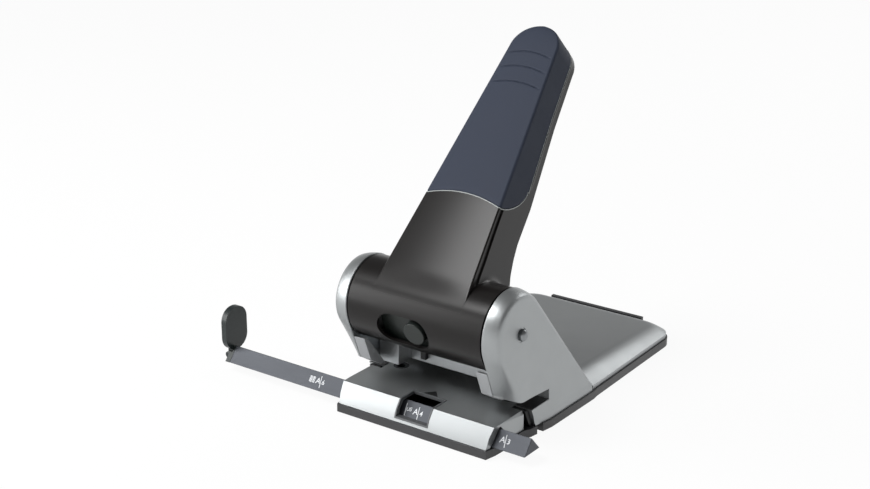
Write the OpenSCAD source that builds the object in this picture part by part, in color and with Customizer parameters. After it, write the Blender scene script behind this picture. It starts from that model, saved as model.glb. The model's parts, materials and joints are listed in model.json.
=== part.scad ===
// Heavy-duty two-hole lever punch with a sliding paper guide.
// Lengths are in millimetres. X runs across the punch, Y from its front to its back, Z up.
// The origin lies on the table, midway between the two holes.

/* [Punching] */
// Distance between the two holes, centre to centre
hole_spacing = 80; // [77:0.5:82]
// Diameter of a punched hole
hole_d = 5.5; // [5:0.1:6]
// Depth from the hole line back to the paper stop
stop_depth = 12; // [10:0.5:13]
// Height of the throat floor above the table
deck_z = 18; // [17.5:0.5:20]
// Height of the throat that takes the paper
throat_h = 6.2; // [5:0.2:8]
// Turn of the lever from rest to its stop, in degrees
press_angle = 43; // [30:1:43]
// Distance of the axle in front of the hole line, which is also the cams' base radius
cam_base_r = 17.8; // [17:0.1:18.2]
// Height of the punch guides
guide_h = 20; // [16:0.5:20]

/* [Drum and axle] */
// Height of the axle above the table
axle_z = 69.2; // [69:0.1:71]
// Diameter of the axle
axle_d = 7; // [6:0.5:8]
// Outer diameter of the drum
drum_d = 50; // [49:0.5:51]
// Length of the drum
drum_len = 94.2; // [93:0.2:96]
// Wall of the drum
drum_wall = 2.2; // [1.6:0.1:2.4]
// Width of the lock's cut-out in the drum
cutout_w = 37; // [33:1:40]
// Height of the lock's cut-out
cutout_h = 20; // [17:1:22]

/* [Lever] */
// Lean of the lever's front face back from the horizontal, in degrees
lever_lean = 46.2; // [44:0.1:50]
// Length of the lever from the axle to its tip
lever_len = 185; // [165:0.1:200]
// Width of the neck where it meets the drum
neck_w = 64.4; // [58:0.2:68]
// Width of the rounded tip
tip_w = 34; // [30:0.5:38]
// Thickness of the soft grip
grip_t = 3; // [2:0.1:3.6]
// Distance from the axle to the grip's lower edge
grip_start = 62.8; // [55:0.2:75]
// Wall of the neck shell
neck_wall = 2.4; // [1.8:0.1:3]

/* [Body] */
// Distance from the hole line to the front edge
front_reach = 45; // [44:0.5:48]
// Distance from the hole line to the rear edge
rear_reach = 168; // [150:1:185]
// Width of the platform's lower front edge
front_w = 106.4; // [104:0.2:108]
// Width of the platform at its front crease
crease_w = 109.4; // [108:0.2:111]
// Width over the flat faces of the cheeks
cheek_w = 120; // [118:0.5:122]
// Width over the cheeks' feet
foot_w = 124; // [122.5:0.5:126]
// Width of the rear cover at its rear edge
rear_w = 119; // [114:0.5:121]
// Height of the black lower frame
rim_h = 5.8; // [5.4:0.1:6]
// Height of the rear cover at its front
cover_front_z = 15; // [13.5:0.5:16]
// Height of the rear cover at its rear
cover_rear_z = 12; // [11:0.5:13]
// Radius of the cheeks' domes at their inner faces
dome_r = 25.5; // [25:0.1:26.5]
// Wall of the cast shells
shell_t = 2.6; // [2:0.1:3]
// Thickness of the steel side frames
frame_t = 2.5; // [2:0.1:3]

/* [Guide bar] */
// Length of the guide bar
bar_len = 223.8; // [200:0.2:240]
// Reach of the guide bar's right end from the centre
bar_right = 76.8; // [72:0.2:80]
// Width of the guide bar's base
bar_w = 15.8; // [14:0.1:16]
// Height of the guide bar
bar_h = 9.2; // [8:0.1:9.4]
// Height of the stop flag's paddle
flag_h = 28.8; // [24:0.2:34]
// Width of the stop flag's paddle
flag_w = 19.5; // [17:0.5:23]
// Thickness of the stop flag
flag_t = 4; // [3.4:0.1:4.6]

/* [Hidden] */
$fn = 64;

// Fits
run_fit = 0.05;
gap = 0.3;
big = 400;

// Places that follow from the sizes
hole_x = hole_spacing / 2;
axle_y = -cam_base_r;
drum_r = drum_d / 2;
drum_in_r = drum_r - drum_wall;
cheek_in = drum_len / 2 + 1;
cheek_out = cheek_w / 2;
foot_out = foot_w / 2;
guide_z = deck_z + throat_h;
guide_top = guide_z + guide_h;
guide_half = 7;
bridge_h = 13;
head_h = 3;
head_d = hole_d + 3.5;
cam_lift = 0.2;
head_top = axle_z - cam_lift - gap;
tip_z = guide_z + 1;
deck_t = 2;
plate_z = rim_h + 0.4;
plate_t = 2;
plate_half = cheek_in - gap;
plate_front = -20;
plate_rear = rear_reach - 14;

// Platform
corner_r = 12;
crease_y = -front_reach + 6.5;
platform_back = -10.3;
die_r = hole_d / 2 + 2.2;
strip_lean = 5.6;
strip_w = 3.3;
skirt_t = 2.6;
window_half = 12.3;
window_back = -24.4;
window_low = 7.6;
arrow_half = 5.3;
arrow_len = 6;
lining_t = 1.1;

// Cheeks
back_foot = [63, 11];
arm_tip = [-30.5, 32.3];
arm_tip_out = [-18.5, 30.3];
arm_low = [-4.8, guide_z + 1.8];
arm_back = [stop_depth, guide_z + 0.4];
cheek_foot_front = -7;
dome_steps = 18;
pocket_x = cheek_in + frame_t + 2.6;

// Lower frame and tray
rim_low = 0.6;
tray_side = 7.5;
tray_half = min(rear_w / 2 - tray_side, crease_w / 2 - 2.7);
hinge_y = -17;
hinge_z = 3.2;
hinge_r = 1.5;
lip_half = 35.6;
lip_z = 11.4;
lip_t = 2.7;
foot_r = 3.6;
foot_places = [[30, -front_reach + 5], [(tray_half + gap + rear_w / 2 + 1) / 2, rear_reach - 22]];
screw_r = 1.5;
screw_len = 11;
screw_x = foot_out - 4.4;
screw_places = [24, 48];

// Guide bar, resting just above the lower frame, on beds of the frame
bed_w = 6;
bed_places = [15, front_w / 2 - 6.2];
bar_z = rim_h + 0.7;
bar_front = -front_reach + 4.5;
bar_back = bar_front + bar_w;
bar_apex = [bar_front + 7.5, bar_z + bar_h];
bar_left = bar_right - bar_len;
pin_x = bar_left - 4;
pin_z = bar_z + 3.1;
pin_r = 1.25;
ear_r = 2.3;
pin_y = (bar_front + bar_back) / 2 + 0.6;
flag_y = pin_y + 1.75;

// Lock in the drum: its cut-out's centre and turn below the front, and the sector of the drum that
// is left out below and behind, where the punches rise
cut_x = -7.5;
cut_down = 16.5;
knob_r = cutout_h / 2 - 2.8;
knob_x = cut_x + (cutout_w - cutout_h) / 2 - 1.4;
drum_open_from = -62;
drum_open_to = 24;

// Lever, in its own frame: u along the lever, w out of its front face
face_w = drum_r + 0.3;
face_camber = 0.6;
neck_gap = 0.35;
face_corner = 1.6;
tip_turn = 86;
tip_drop = 1.6;
tip_back_rise = 2;
tip_half = tip_w / 2;
tip_u = lever_len - tip_half;
// Depth of the lever behind its front face, at distances along it
lever_depths = [[0, 40], [31, 40], [36.5, 36.8], [45.5, 34], [55, 32.4], [79, 33], [131, 28],
    [170, 27]];
// Height of the seam between the back strip and the grip, as a share of the depth
seam = 0.24;
seam_step = 0.04;
// How the grip's lower edge rises along the side: evenly, and round into the seam. Its arch over the
// front
grip_rise = 8;
grip_corner = 15;
grip_arch = 4;
core_half = 12;
core_t = 3;
core_len = 122;
core_low_w = 5;
core_high_w = 17;
hub_r = 8;
cam_t = 8;
lever_screw_u = [58, 112];

// Springs
wire_d = 1;
spring_r = hole_d / 2 + 1.35;
spring_turns = 6;
spring_low = guide_top;
spring_high = head_top - head_h;

// ---------- helpers ----------

// Extrudes a profile drawn as (Y, Z) from x0 to x1
module along_x(x0, x1) {
    translate([x0, 0, 0]) rotate([90, 0, 90]) linear_extrude(height = x1 - x0) children();
}

// A rod along X, on the point (y, z)
module rod_x(x0, x1, r, y, z) {
    translate([x0, y, z]) rotate([0, 90, 0]) cylinder(r = r, h = x1 - x0);
}

// Mirrors a right-hand piece to the left
module left() {
    mirror([1, 0, 0]) children();
}

// Moves the lever's own frame to its place: x across, u along, w out of the face
module lever_frame() {
    translate([0, axle_y, axle_z]) rotate([lever_lean, 0, 0]) children();
}

function lerp(a, b, t) = a + (b - a) * t;

// The point where the tangent from p touches a circle, on the side given by s
function tangent_point(c, r, p, s) =
    let (d = p - c, l = norm(d), a = atan2(d[1], d[0]) + s * acos(r / l))
    c + r * [cos(a), sin(a)];

function triangles(q) = [[q[0], q[1], q[2]], [q[0], q[2], q[3]]];

// A closed solid through rings that all have the same number of points
module loft(rings) {
    n = len(rings[0]);
    m = len(rings);
    sides = [for (i = [0 : m - 2], j = [0 : n - 1]) each triangles(
        [i * n + j, i * n + (j + 1) % n, (i + 1) * n + (j + 1) % n, (i + 1) * n + j])];
    start = [[for (j = [n - 1 : -1 : 0]) j]];
    end = [[for (j = [0 : n - 1]) (m - 1) * n + j]];
    polyhedron(points = [for (r = rings) each r], faces = concat(sides, start, end), convexity = 6);
}

// A closed wall between two grids of points, an outer and an inner one of the same counts. Both
// are closed across at their last row, where the two sides of the section meet.
module wall(outer, inner) {
    n = len(outer);
    m = len(outer[0]);
    e = (n - 1) * m;
    f = (2 * n - 1) * m;
    quads = concat(
        [for (i = [0 : n - 2], j = [0 : m - 2])
            [i * m + j, i * m + j + 1, (i + 1) * m + j + 1, (i + 1) * m + j]],
        [for (i = [0 : n - 2], j = [0 : m - 2])
            [(n + i + 1) * m + j, (n + i + 1) * m + j + 1, (n + i) * m + j + 1, (n + i) * m + j]],
        [for (j = [0 : m - 2]) [j + 1, j, n * m + j, n * m + j + 1]],
        [for (j = [0 : m / 2 - 2]) [e + j, e + j + 1, e + m - 2 - j, e + m - 1 - j]],
        [for (j = [0 : m / 2 - 2]) [f + m - 1 - j, f + m - 2 - j, f + j + 1, f + j]],
        [[e, e + m - 1, f + m - 1, f]],
        [for (i = [0 : n - 2]) [i * m, (i + 1) * m, (n + i + 1) * m, (n + i) * m]],
        [for (i = [0 : n - 2])
            [(i + 1) * m - 1, (n + i + 1) * m - 1, (n + i + 2) * m - 1, (i + 2) * m - 1]]);
    polyhedron(points = [for (r = concat(outer, inner)) each r],
        faces = [for (q = quads) each triangles(q)], convexity = 8);
}

// ---------- body ----------

// Half of the body's outline on the table, drawn to the right
function body_edge(e) = [
    [0, -front_reach - e], [front_w / 2 + e, -front_reach - e], [crease_w / 2 + e, crease_y],
    [crease_w / 2 + 1.8 + e, platform_back], [crease_w / 2 + 3.6 + e, cheek_foot_front],
    [foot_out - 0.6 + e, stop_depth], [foot_out + e, back_foot[0] - 3],
    [foot_out - 0.7 + e, back_foot[0] + 2], [rear_w / 2 + e, rear_reach - corner_r],
    [rear_w / 2 - corner_r, rear_reach - corner_r], [rear_w / 2 - corner_r, rear_reach + e],
    [0, rear_reach + e]];

module body_outline(e) {
    for (s = [0, 1]) mirror([s, 0]) {
        polygon(body_edge(e));
        translate([rear_w / 2 - corner_r, rear_reach - corner_r]) circle(r = corner_r + e);
    }
}

module bottom_frame() {
    color("#3c3c3e") {
        difference() {
            translate([0, 0, rim_low]) linear_extrude(height = rim_h - rim_low) body_outline(1);
            // room for the tray, from the front floor's edge back
            translate([-tray_half - gap, hinge_y - 3.5, -1])
                cube([2 * (tray_half + gap), rear_reach - 3 - hinge_y + 3.5, big]);
            translate([-lip_half - gap, 0, -1]) cube([2 * (lip_half + gap), big, big]);
            // hollow above the front floor
            translate([-front_w / 2 + 3, -front_reach + 3, rim_low + 1.8])
                cube([front_w - 6, front_reach + hinge_y - 8.5, big]);
            // relief where each cheek's foot reaches down
            for (s = [0, 1]) mirror([s, 0, 0])
                translate([tray_half + 2.4, -1, -1]) cube([20, 5, big]);
            for (p = foot_places, s = [-1, 1])
                translate([s * p[0], p[1], -1]) cylinder(r = foot_r + run_fit, h = 3.1);
            for (s = [-1, 1]) {
                rod_x(s > 0 ? tray_half : -tray_half - 4, s > 0 ? tray_half + 4 : -tray_half,
                    hinge_r + run_fit, hinge_y, hinge_z);
                for (y = screw_places) {
                    translate([s * screw_x, y, -1]) cylinder(r = screw_r + run_fit, h = big);
                    translate([s * screw_x, y, -1]) cylinder(r = 2.9, h = 2.6 + rim_low);
                }
            }
        }
        // beds that carry the guide bar
        for (x = bed_places, s = [-1, 1])
            translate([s * x - bed_w / 2, bar_front, rim_low + 1.8])
                cube([bed_w, bar_w, bar_z - gap - rim_low - 1.8]);
    }
}

module rubber_feet() {
    color("#6a6a6a") for (p = foot_places, s = [-1, 1])
        translate([s * p[0], p[1], 0]) cylinder(r = foot_r, h = 2);
}

module base_plate() {
    color("#9aa0a4") difference() {
        translate([-plate_half, plate_front, plate_z])
            cube([2 * plate_half, plate_rear - plate_front, plate_t]);
        // the chips fall through here
        for (s = [-1, 1]) translate([s * hole_x, 0, 0]) cylinder(r = die_r, h = big);
    }
}

// The cheeks' side outline, drawn as (Y, Z) and set in by e. Its straight edges run a hair inside
// the dome's circle, so that they cross it instead of touching it.
module side_profile(e, floor_z) {
    hair = 0.03;
    centre = [axle_y, axle_z];
    r = dome_r - e;
    tip = arm_tip + [2, 1.4] * e;
    low = arm_low + [0, 1] * e;
    stop_top = [arm_back[0] + e, arm_back[1] + e];
    foot = [back_foot[0] - 1.3 * e, back_foot[1]];
    translate(centre) circle(r = r);
    polygon([centre, tangent_point(centre, r - hair, tip, -1), tip, low, stop_top,
        [stop_top[0], floor_z], [foot[0], floor_z], foot, tangent_point(centre, r - hair, foot, 1)]);
}

module side_frame_right() {
    color("#8f9599") difference() {
        along_x(cheek_in, cheek_in + frame_t) side_profile(shell_t + gap, plate_z);
        rod_x(cheek_in - 1, cheek_in + frame_t + 1, axle_d / 2 + run_fit, axle_y, axle_z);
    }
}

// Plate that closes the arm's inner side between the drum and the paper
module arm_rib_right() {
    rib_t = 8;
    foot_z = guide_z + 1.5;
    color("#a6a8aa") along_x(cheek_in - 0.1 - rib_t, cheek_in - 0.1)
        polygon([arm_tip + [-5.9, 15.9], arm_tip + [-2.5, 15.3], [-15.8, foot_z], [-20.4, foot_z + 0.6],
            arm_tip + [0.3, 0.3]]);
}

// Everything below the cheek's arm and in front of its foot
module throat_cut() {
    arm_mid = [lerp(arm_tip[0], arm_low[0], 0.5), lerp(arm_tip[1], arm_low[1], 0.5) - 2.6];
    far = lerp(arm_mid, arm_tip + [0, 0.3], 4);
    foot_low = cheek_foot_front + strip_lean * (deck_z + 1) / (deck_z - rim_h);
    along_x(0, big) polygon([far, arm_mid, arm_low, arm_back, [stop_depth, deck_z],
        [cheek_foot_front, deck_z], [foot_low, -1], [-big, -1], [-big, far[1]]]);
}

// One outline of the cheek as a ring of points: over the dome from front to back, down to the
// foot at the back, forward along the bottom and up to the arm's tip. The bottom has three points,
// each given as [x, y, z].
function cheek_ring(x, r, foot, tip, bottom) =
    let (c = [axle_y, axle_z], f = tangent_point(c, r, tip, -1) - c, b = tangent_point(c, r, foot, 1) - c,
        a0 = atan2(f[1], f[0]) + (f[1] < 0 ? 360 : 0), a1 = atan2(b[1], b[0]))
    concat([for (i = [0 : dome_steps]) let (a = lerp(a0, a1, i / dome_steps))
            [x, c[0] + r * cos(a), c[1] + r * sin(a)]],
        [[x, foot[0], foot[1]]], bottom, [[x, tip[0], tip[1]]]);

module cheek_right() {
    front = cheek_foot_front;
    front_x = crease_w / 2 + 3.6;
    heel = back_foot[0] - 0.3;
    foot_out_y = back_foot[0] - 2.6;
    seat_r = axle_d / 2 + 0.9;
    color("#b9bbbd") {
        difference() {
            loft([
                cheek_ring(cheek_in, dome_r, back_foot, arm_tip,
                    [[cheek_in, heel, rim_h], [cheek_in, stop_depth, rim_h], [cheek_in, front, rim_h]]),
                cheek_ring(lerp(cheek_in, cheek_out, 0.64), dome_r - 1.7, back_foot - [0.6, 0.4],
                    (arm_tip + arm_tip_out) / 2,
                    [[foot_out, heel - 0.6, rim_h], [foot_out - 0.6, stop_depth, rim_h],
                        [front_x, front, rim_h]]),
                cheek_ring(cheek_out, dome_r - 2.8, [foot_out_y, back_foot[1] - 1.6], arm_tip_out,
                    [[cheek_out, foot_out_y - 0.4, rim_h + 2.6], [cheek_out, stop_depth, rim_h + 4],
                        [cheek_out, front, rim_h + 5]])]);
            throat_cut();
            // pockets for the side frame and behind it
            along_x(cheek_in - 1, pocket_x) side_profile(shell_t, -1);
            along_x(cheek_in - 1, cheek_out - 4.6) side_profile(2.4 * shell_t, -1);
            rod_x(cheek_in, foot_out + 5, axle_d / 2 + run_fit, axle_y, axle_z);
            // shallow seat round the axle's end
            rod_x(cheek_out - 0.5, foot_out + 5, seat_r, axle_y, axle_z);
            for (y = screw_places) translate([screw_x, y, -1]) cylinder(r = screw_r + run_fit, h = screw_len + 2);
        }
        // toe that reaches down between the lower frame's two parts
        translate([tray_half + 2.8, front + strip_lean + 0.6, rim_low + 0.2])
            cube([3.5, 4.2, rim_h - rim_low + 0.4]);
    }
}

// Side view of the platform, inset by e below and behind its skin
function platform_side(e) = [
    [-front_reach + 1.35 * e, -1], [-front_reach + 1.35 * e, rim_h],
    [-front_reach + 2.4 + 1.25 * e, rim_h + 6.6], [crease_y + 0.8 * e, deck_z - e * deck_t / skirt_t],
    [stop_depth - 0.2, deck_z - e * deck_t / skirt_t], [stop_depth - 0.2, -1]];

module platform_block(e) {
    half = crease_w / 2;
    intersection() {
        along_x(-half - 2, half + 2) polygon(platform_side(e));
        // plan, narrow between the cheeks
        linear_extrude(height = big) polygon([
            [-front_w / 2 + e, -front_reach - 1], [front_w / 2 - e, -front_reach - 1],
            [half - e, crease_y], [half + 1.8 - e, platform_back],
            [plate_half - e * 0.8, platform_back], [plate_half - e * 0.8, big],
            [-plate_half + e * 0.8, big], [-plate_half + e * 0.8, platform_back],
            [-half - 1.8 + e, platform_back], [-half + e, crease_y]]);
        // front view, with a small chamfer along each top edge
        translate([0, big / 2, 0]) rotate([90, 0, 0]) linear_extrude(height = big) polygon([
            [-half - 2, -1], [half + 2, -1], [half + 2, deck_z - 2.6],
            [half + 0.4, deck_z - e * deck_t / skirt_t], [-half - 0.4, deck_z - e * deck_t / skirt_t],
            [-half - 2, deck_z - 2.6]]);
    }
}

// The window's outline on the platform, set in by e
module window_outline(e) {
    polygon([[-window_half + e, -front_reach - 5], [window_half - e, -front_reach - 5],
        [window_half - e, window_back - e], [-window_half + e, window_back - e]]);
}

module arrow_outline(e) {
    polygon([[-arrow_half - e, window_back - 0.01], [arrow_half + e, window_back - 0.01],
        [0, window_back + arrow_len + e]]);
}

module front_platform() {
    color("#c2c4c6") difference() {
        intersection() {
            platform_block(0);
            translate([-big / 2, -big / 2, rim_h + 0.15]) cube(big);
        }
        difference() {
            platform_block(skirt_t);
            // the rear edge of the skirts stays closed by the groove strips
            translate([-big / 2, stop_depth - 2.2, 0]) cube(big);
        }
        // the skirts' rear edges lean back with the groove
        for (s = [0, 1]) mirror([s, 0, 0]) along_x(plate_half + 1.5, big)
            polygon([[platform_back, deck_z - deck_t], [platform_back + 6, deck_z - deck_t],
                [platform_back + 6, -1], [platform_back, -1]]);
        // the narrow rear part stands on the base plate
        translate([-plate_half - 1, plate_front - gap, -1])
            cube([2 * plate_half + 2, big, plate_z + plate_t + 1]);
        bar_passage();
        translate([0, 0, window_low]) linear_extrude(height = big) {
            window_outline(0);
            arrow_outline(0);
        }
        for (s = [-1, 1]) translate([s * hole_x, 0, 0])
            cylinder(r = die_r + run_fit, h = big);
    }
}

// The way through the skirts for the guide bar
module bar_passage() {
    c = 0.9;
    along_x(-big / 2, big / 2) polygon([[bar_front - c, -1], [bar_front - c, bar_z],
        [bar_apex[0] - 0.4, bar_apex[1] + c], [bar_apex[0] + 0.6, bar_apex[1] + c],
        [bar_back + 1.6, bar_z], [bar_back + 1.6, -1]]);
}

module window_frame() {
    color("#4a4c4e") difference() {
        intersection() {
            window_skin();
            translate([0, 0, window_low + run_fit]) linear_extrude(height = big) window_outline(run_fit);
        }
        translate([0, 0, window_low + lining_t]) linear_extrude(height = big) window_outline(lining_t);
        bar_passage();
    }
}

// The platform's skin, standing a little proud, without its hollow
module window_skin() {
    difference() {
        translate([0, 0, 0.35]) along_x(-window_half, window_half) polygon(platform_side(0));
        translate([0, 0, 0.2]) along_x(-big / 2, big / 2) polygon(platform_side(skirt_t));
        translate([-big / 2, stop_depth - 3, 0]) cube(big);
    }
}

module centre_pointer() {
    color("#2c2e30") translate([0, 0, deck_z - deck_t])
        linear_extrude(height = deck_t + 0.3) difference() {
            arrow_outline(-0.15);
            translate([-big / 2, window_back - big + 0.05]) square(big);
        }
}

module die_bush(x) {
    flange_t = 2.5;
    color("#a8acb0") translate([x, 0, 0]) difference() {
        union() {
            translate([0, 0, deck_z - deck_t - flange_t]) cylinder(r = die_r + 0.6, h = flange_t);
            translate([0, 0, deck_z - deck_t]) cylinder(r = die_r, h = deck_t);
        }
        translate([0, 0, -1]) cylinder(r = hole_d / 2 + run_fit, h = big);
    }
}

module groove_strip_right() {
    c = 0.15;
    top = deck_z - 0.3;
    color("#232526") along_x(plate_half + 1.6, crease_w / 2 + 2.6) polygon([
        [platform_back + c, top], [cheek_foot_front - c, top],
        [cheek_foot_front + strip_lean - c, rim_h + c],
        [cheek_foot_front + strip_lean - c - strip_w, rim_h + c]]);
}

module cover_form(e) {
    front = back_foot[0] + 0.3 - (e > 0 ? 3 : 0);
    side = foot_out - 0.7 - e;
    hull() for (s = [-1, 1]) {
        // lower edge
        translate([s * side - (s > 0 ? 0.5 : 0), front, rim_h - (e > 0 ? 1 : -0.15)]) cube([0.5, 0.5, 3.4]);
        translate([s * (rear_w / 2 - corner_r), rear_reach - corner_r, rim_h - (e > 0 ? 1 : -0.15)])
            cylinder(r = corner_r - e, h = 3.4, $fn = 32);
        // shoulder
        translate([s * (side - 5) - (s > 0 ? 0.5 : 0), front, cover_front_z - 2.6 - e]) cube([0.5, 0.5, 0.5]);
        translate([s * (rear_w / 2 - corner_r - 3), rear_reach - corner_r - 2, cover_rear_z - 1.9 - e])
            cylinder(r = corner_r - e - 1, h = 0.5, $fn = 32);
        // flat top
        translate([s * (side - 17), front, cover_front_z - 0.5 - e]) cube([0.5, 0.5, 0.5]);
        translate([s * (rear_w / 2 - corner_r - 8), rear_reach - corner_r - 3, cover_rear_z - 0.5 - e])
            cylinder(r = corner_r - e - 3, h = 0.5, $fn = 32);
    }
}

module rear_cover() {
    tongue_start = stop_depth + 2.3;
    tongue_low = plate_z + plate_t + gap;
    color("#b4b6b8") {
        difference() {
            cover_form(0);
            cover_form(2);
        }
        // tongue that runs forward between the cheeks
        difference() {
            translate([-plate_half, tongue_start, tongue_low])
                cube([2 * plate_half, back_foot[0] + 0.3 - tongue_start, cover_front_z - tongue_low]);
            translate([-plate_half + 2, 0, 0]) cube([2 * plate_half - 4, big, cover_front_z - 2]);
        }
    }
}

module paper_stop() {
    color("#2a2c2d") translate([-plate_half, stop_depth, deck_z - deck_t])
        cube([2 * plate_half, 2, throat_h + deck_t]);
}

module punch_guide() {
    color("#b0b2b3") difference() {
        translate([hole_x - guide_half, -12, guide_z])
            cube([plate_half - hole_x + guide_half, 21, guide_h]);
        translate([hole_x, 0, 0]) cylinder(r = hole_d / 2 + run_fit, h = big);
    }
}

module bridge_plate() {
    half = hole_x - guide_half;
    color("#b6b8b9") {
        translate([-half, 1, guide_z]) cube([2 * half, 3, bridge_h]);
        translate([-half, 4, guide_z]) cube([2 * half, stop_depth + 2 - 4, 3]);
    }
}

module lock_catch() {
    color("#252728") {
        translate([-24, -2, guide_z + 3]) cube([4, 3, 14]);
        translate([-24, -4, guide_z + 14]) cube([4, 2, 3]);
    }
}

module axle() {
    r = axle_d / 2;
    clip_x = cheek_in + frame_t + 0.1;
    end = cheek_out + 0.6;
    dome = 1.9;
    ball = (r * r + dome * dome) / (2 * dome);
    rim_turn = asin(r / ball);
    // half of the outline, as [radius, place along the axle]
    half = concat([[r, 0], [r, clip_x], [r - 0.6, clip_x], [r - 0.6, clip_x + 1.1], [r, clip_x + 1.1]],
        [for (i = [0 : 5]) let (a = rim_turn * (1 - i / 6))
            [ball * sin(a), end + dome - ball + ball * cos(a)]], [[0, end + dome]]);
    color("#a5a8aa") translate([0, axle_y, axle_z]) for (s = [0, 1]) mirror([s, 0, 0])
        rotate([0, 90, 0]) rotate_extrude() polygon(concat([[0, 0]], half));
}

module axle_clips() {
    clip_x = cheek_in + frame_t + 0.15;
    r = axle_d / 2;
    color("#6f7376") for (s = [0, 1]) mirror([s, 0, 0]) difference() {
        rod_x(clip_x, clip_x + 1, r + 2.6, axle_y, axle_z);
        rod_x(clip_x - 1, clip_x + 2, r - 0.55, axle_y, axle_z);
        translate([clip_x - 1, axle_y - r + 0.8, axle_z]) cube([3, 2 * r - 1.6, big]);
    }
}

// Leaf springs that press on the bar's rear slope and hold it where it is put
module bar_detents() {
    under = deck_z - deck_t;
    n = [bar_h, bar_back - bar_apex[0]] / norm([bar_h, bar_back - bar_apex[0]]);
    t = [n[1], -n[0]];
    touch = bar_apex + 4.6 * t + gap * n;
    color("#8b9094") for (x = [-36, 22]) along_x(x, x + 14)
        polygon([touch, [bar_back + 2.5, under], [bar_back + 6.5, under], [bar_back + 6.5, under - 0.6],
            [bar_back + 2.7, under - 0.6], touch + 0.7 * t + 0.05 * n]);
}

module base_screws() {
    color("#77797b") for (s = [-1, 1], y = screw_places) translate([s * screw_x, y, rim_low]) {
        cylinder(r = screw_r, h = screw_len);
        difference() {
            cylinder(r = 2.8, h = 1.5);
            translate([-2, -0.3, -1]) cube([4, 0.6, 1.6]);
            translate([-0.3, -2, -1]) cube([0.6, 4, 1.6]);
        }
    }
}

// Centre line of a return spring: straight stubs at the ends, a steady helix between
function spring_line(x) =
    let (stub = wire_d, steps = 8, n = spring_turns * steps,
        z0 = spring_low + stub, z1 = spring_high - stub)
    concat([[x + spring_r, 0, spring_low]],
        [for (i = [0 : n]) [x + spring_r * cos(360 * i / steps), spring_r * sin(360 * i / steps),
            lerp(z0, z1, i / n)]],
        [[x + spring_r, 0, spring_high]]);

// A round tube of six sides along a list of points
module tube(line, r) {
    sides = 6;
    n = len(line);
    loft([for (i = [0 : n - 1])
        let (a = line[max(i - 1, 0)], b = line[min(i + 1, n - 1)], d = (b - a) / norm(b - a),
            ref = (i == 0 || i == n - 1) ? [1, 0, 0] : [line[i][0] - line_axis(line)[0], line[i][1], 0],
            e0 = ref - (ref * d) * d, e = e0 / norm(e0), f = cross(d, e))
        [for (k = [0 : sides - 1]) line[i] + r * (cos(-360 * k / sides) * e + sin(-360 * k / sides) * f)]]);
}

function line_axis(line) = [sum([for (p = line) p[0]]) / len(line), 0, 0];
function sum(v, i = 0) = i < len(v) ? v[i] + sum(v, i + 1) : 0;

// Least clear gap between turns, measured on the centre line's points
function spring_gap(line) = min([for (i = [1 : len(line) - 2], j = [1 : len(line) - 2])
    if (j - i > 5) norm(line[i] - line[j])]) - wire_d;

module return_spring(x) {
    color("#9ea3a7") tube(spring_line(x), wire_d / 2);
}

module chip_tray() {
    floor_z = rim_low + 0.2;
    floor_t = 1.2;
    wall_t = 1.6;
    wall_h = rim_h - 0.3 - floor_z;
    rear = rear_reach - 4;
    lip_y = rear_reach + 0.4;
    half = tray_half;
    color("#3a3a3c") {
        difference() {
            translate([-half, hinge_y - 1.5, floor_z]) cube([2 * half, rear - hinge_y + 1.5, wall_h]);
            translate([-half + wall_t, hinge_y + 1.7, floor_z + floor_t])
                cube([2 * (half - wall_t), rear - hinge_y - 1.7 - wall_t, big]);
            // the front edge is lowered so that it clears the frame as the tray swings
            translate([-half - 1, hinge_y - 5, hinge_z + hinge_r]) cube([2 * half + 2, 8, big]);
            pad_recess(run_fit);
        }
        // finger lip behind the rear cover
        translate([-lip_half, rear - 0.5, floor_z]) cube([2 * lip_half, lip_y + lip_t - rear + 0.5, floor_t]);
        translate([-lip_half, lip_y, floor_z]) cube([2 * lip_half, lip_t, lip_z - floor_z]);
        for (s = [0, 1]) mirror([s, 0, 0]) rod_x(half - 0.5, half + 3.6, hinge_r, hinge_y, hinge_z);
    }
}

module pad_recess(c) {
    translate([-14 - c, -6 - c, -1]) cube([28 + 2 * c, 12 + 2 * c, 2.2]);
}

module tray_pad() {
    color("#6a6a6a") translate([-14, -6, 0]) cube([28, 12, 1.2]);
}

// ---------- lever ----------

// The lever's section is followed from one back edge over the front face to the other. A place on
// it is [side, across, height, out]: side and height say how far it lies along the front and up the
// side, across and out how far round the rounded corner.
corner_steps = 3;
section_half = concat(
    [[1, 1, 0, 0], [1, 1, 0.12, 0], [1, 1, seam, 0], [1, 1, seam + seam_step, 0], [1, 1, 0.35, 0],
        [1, 1, 0.5, 0], [1, 1, 0.65, 0], [1, 1, 0.8, 0], [1, 1, 0.91, 0], [1, 1, 1, 0]],
    [for (i = [1 : corner_steps]) let (a = 90 * i / corner_steps) [1, cos(a), 1, sin(a)]],
    [[0.6, 0, 1, 1], [0.25, 0, 1, 1]]);
n_half = len(section_half);
lever_section = concat(section_half,
    [for (i = [n_half - 1 : -1 : 0]) let (q = section_half[i]) [-q[0], -q[1], q[2], q[3]]]);

function half_at(u) = lerp(neck_w / 2, tip_half, u / tip_u);
function back_at(u) = face_w - lookup(u, lever_depths);

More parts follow.
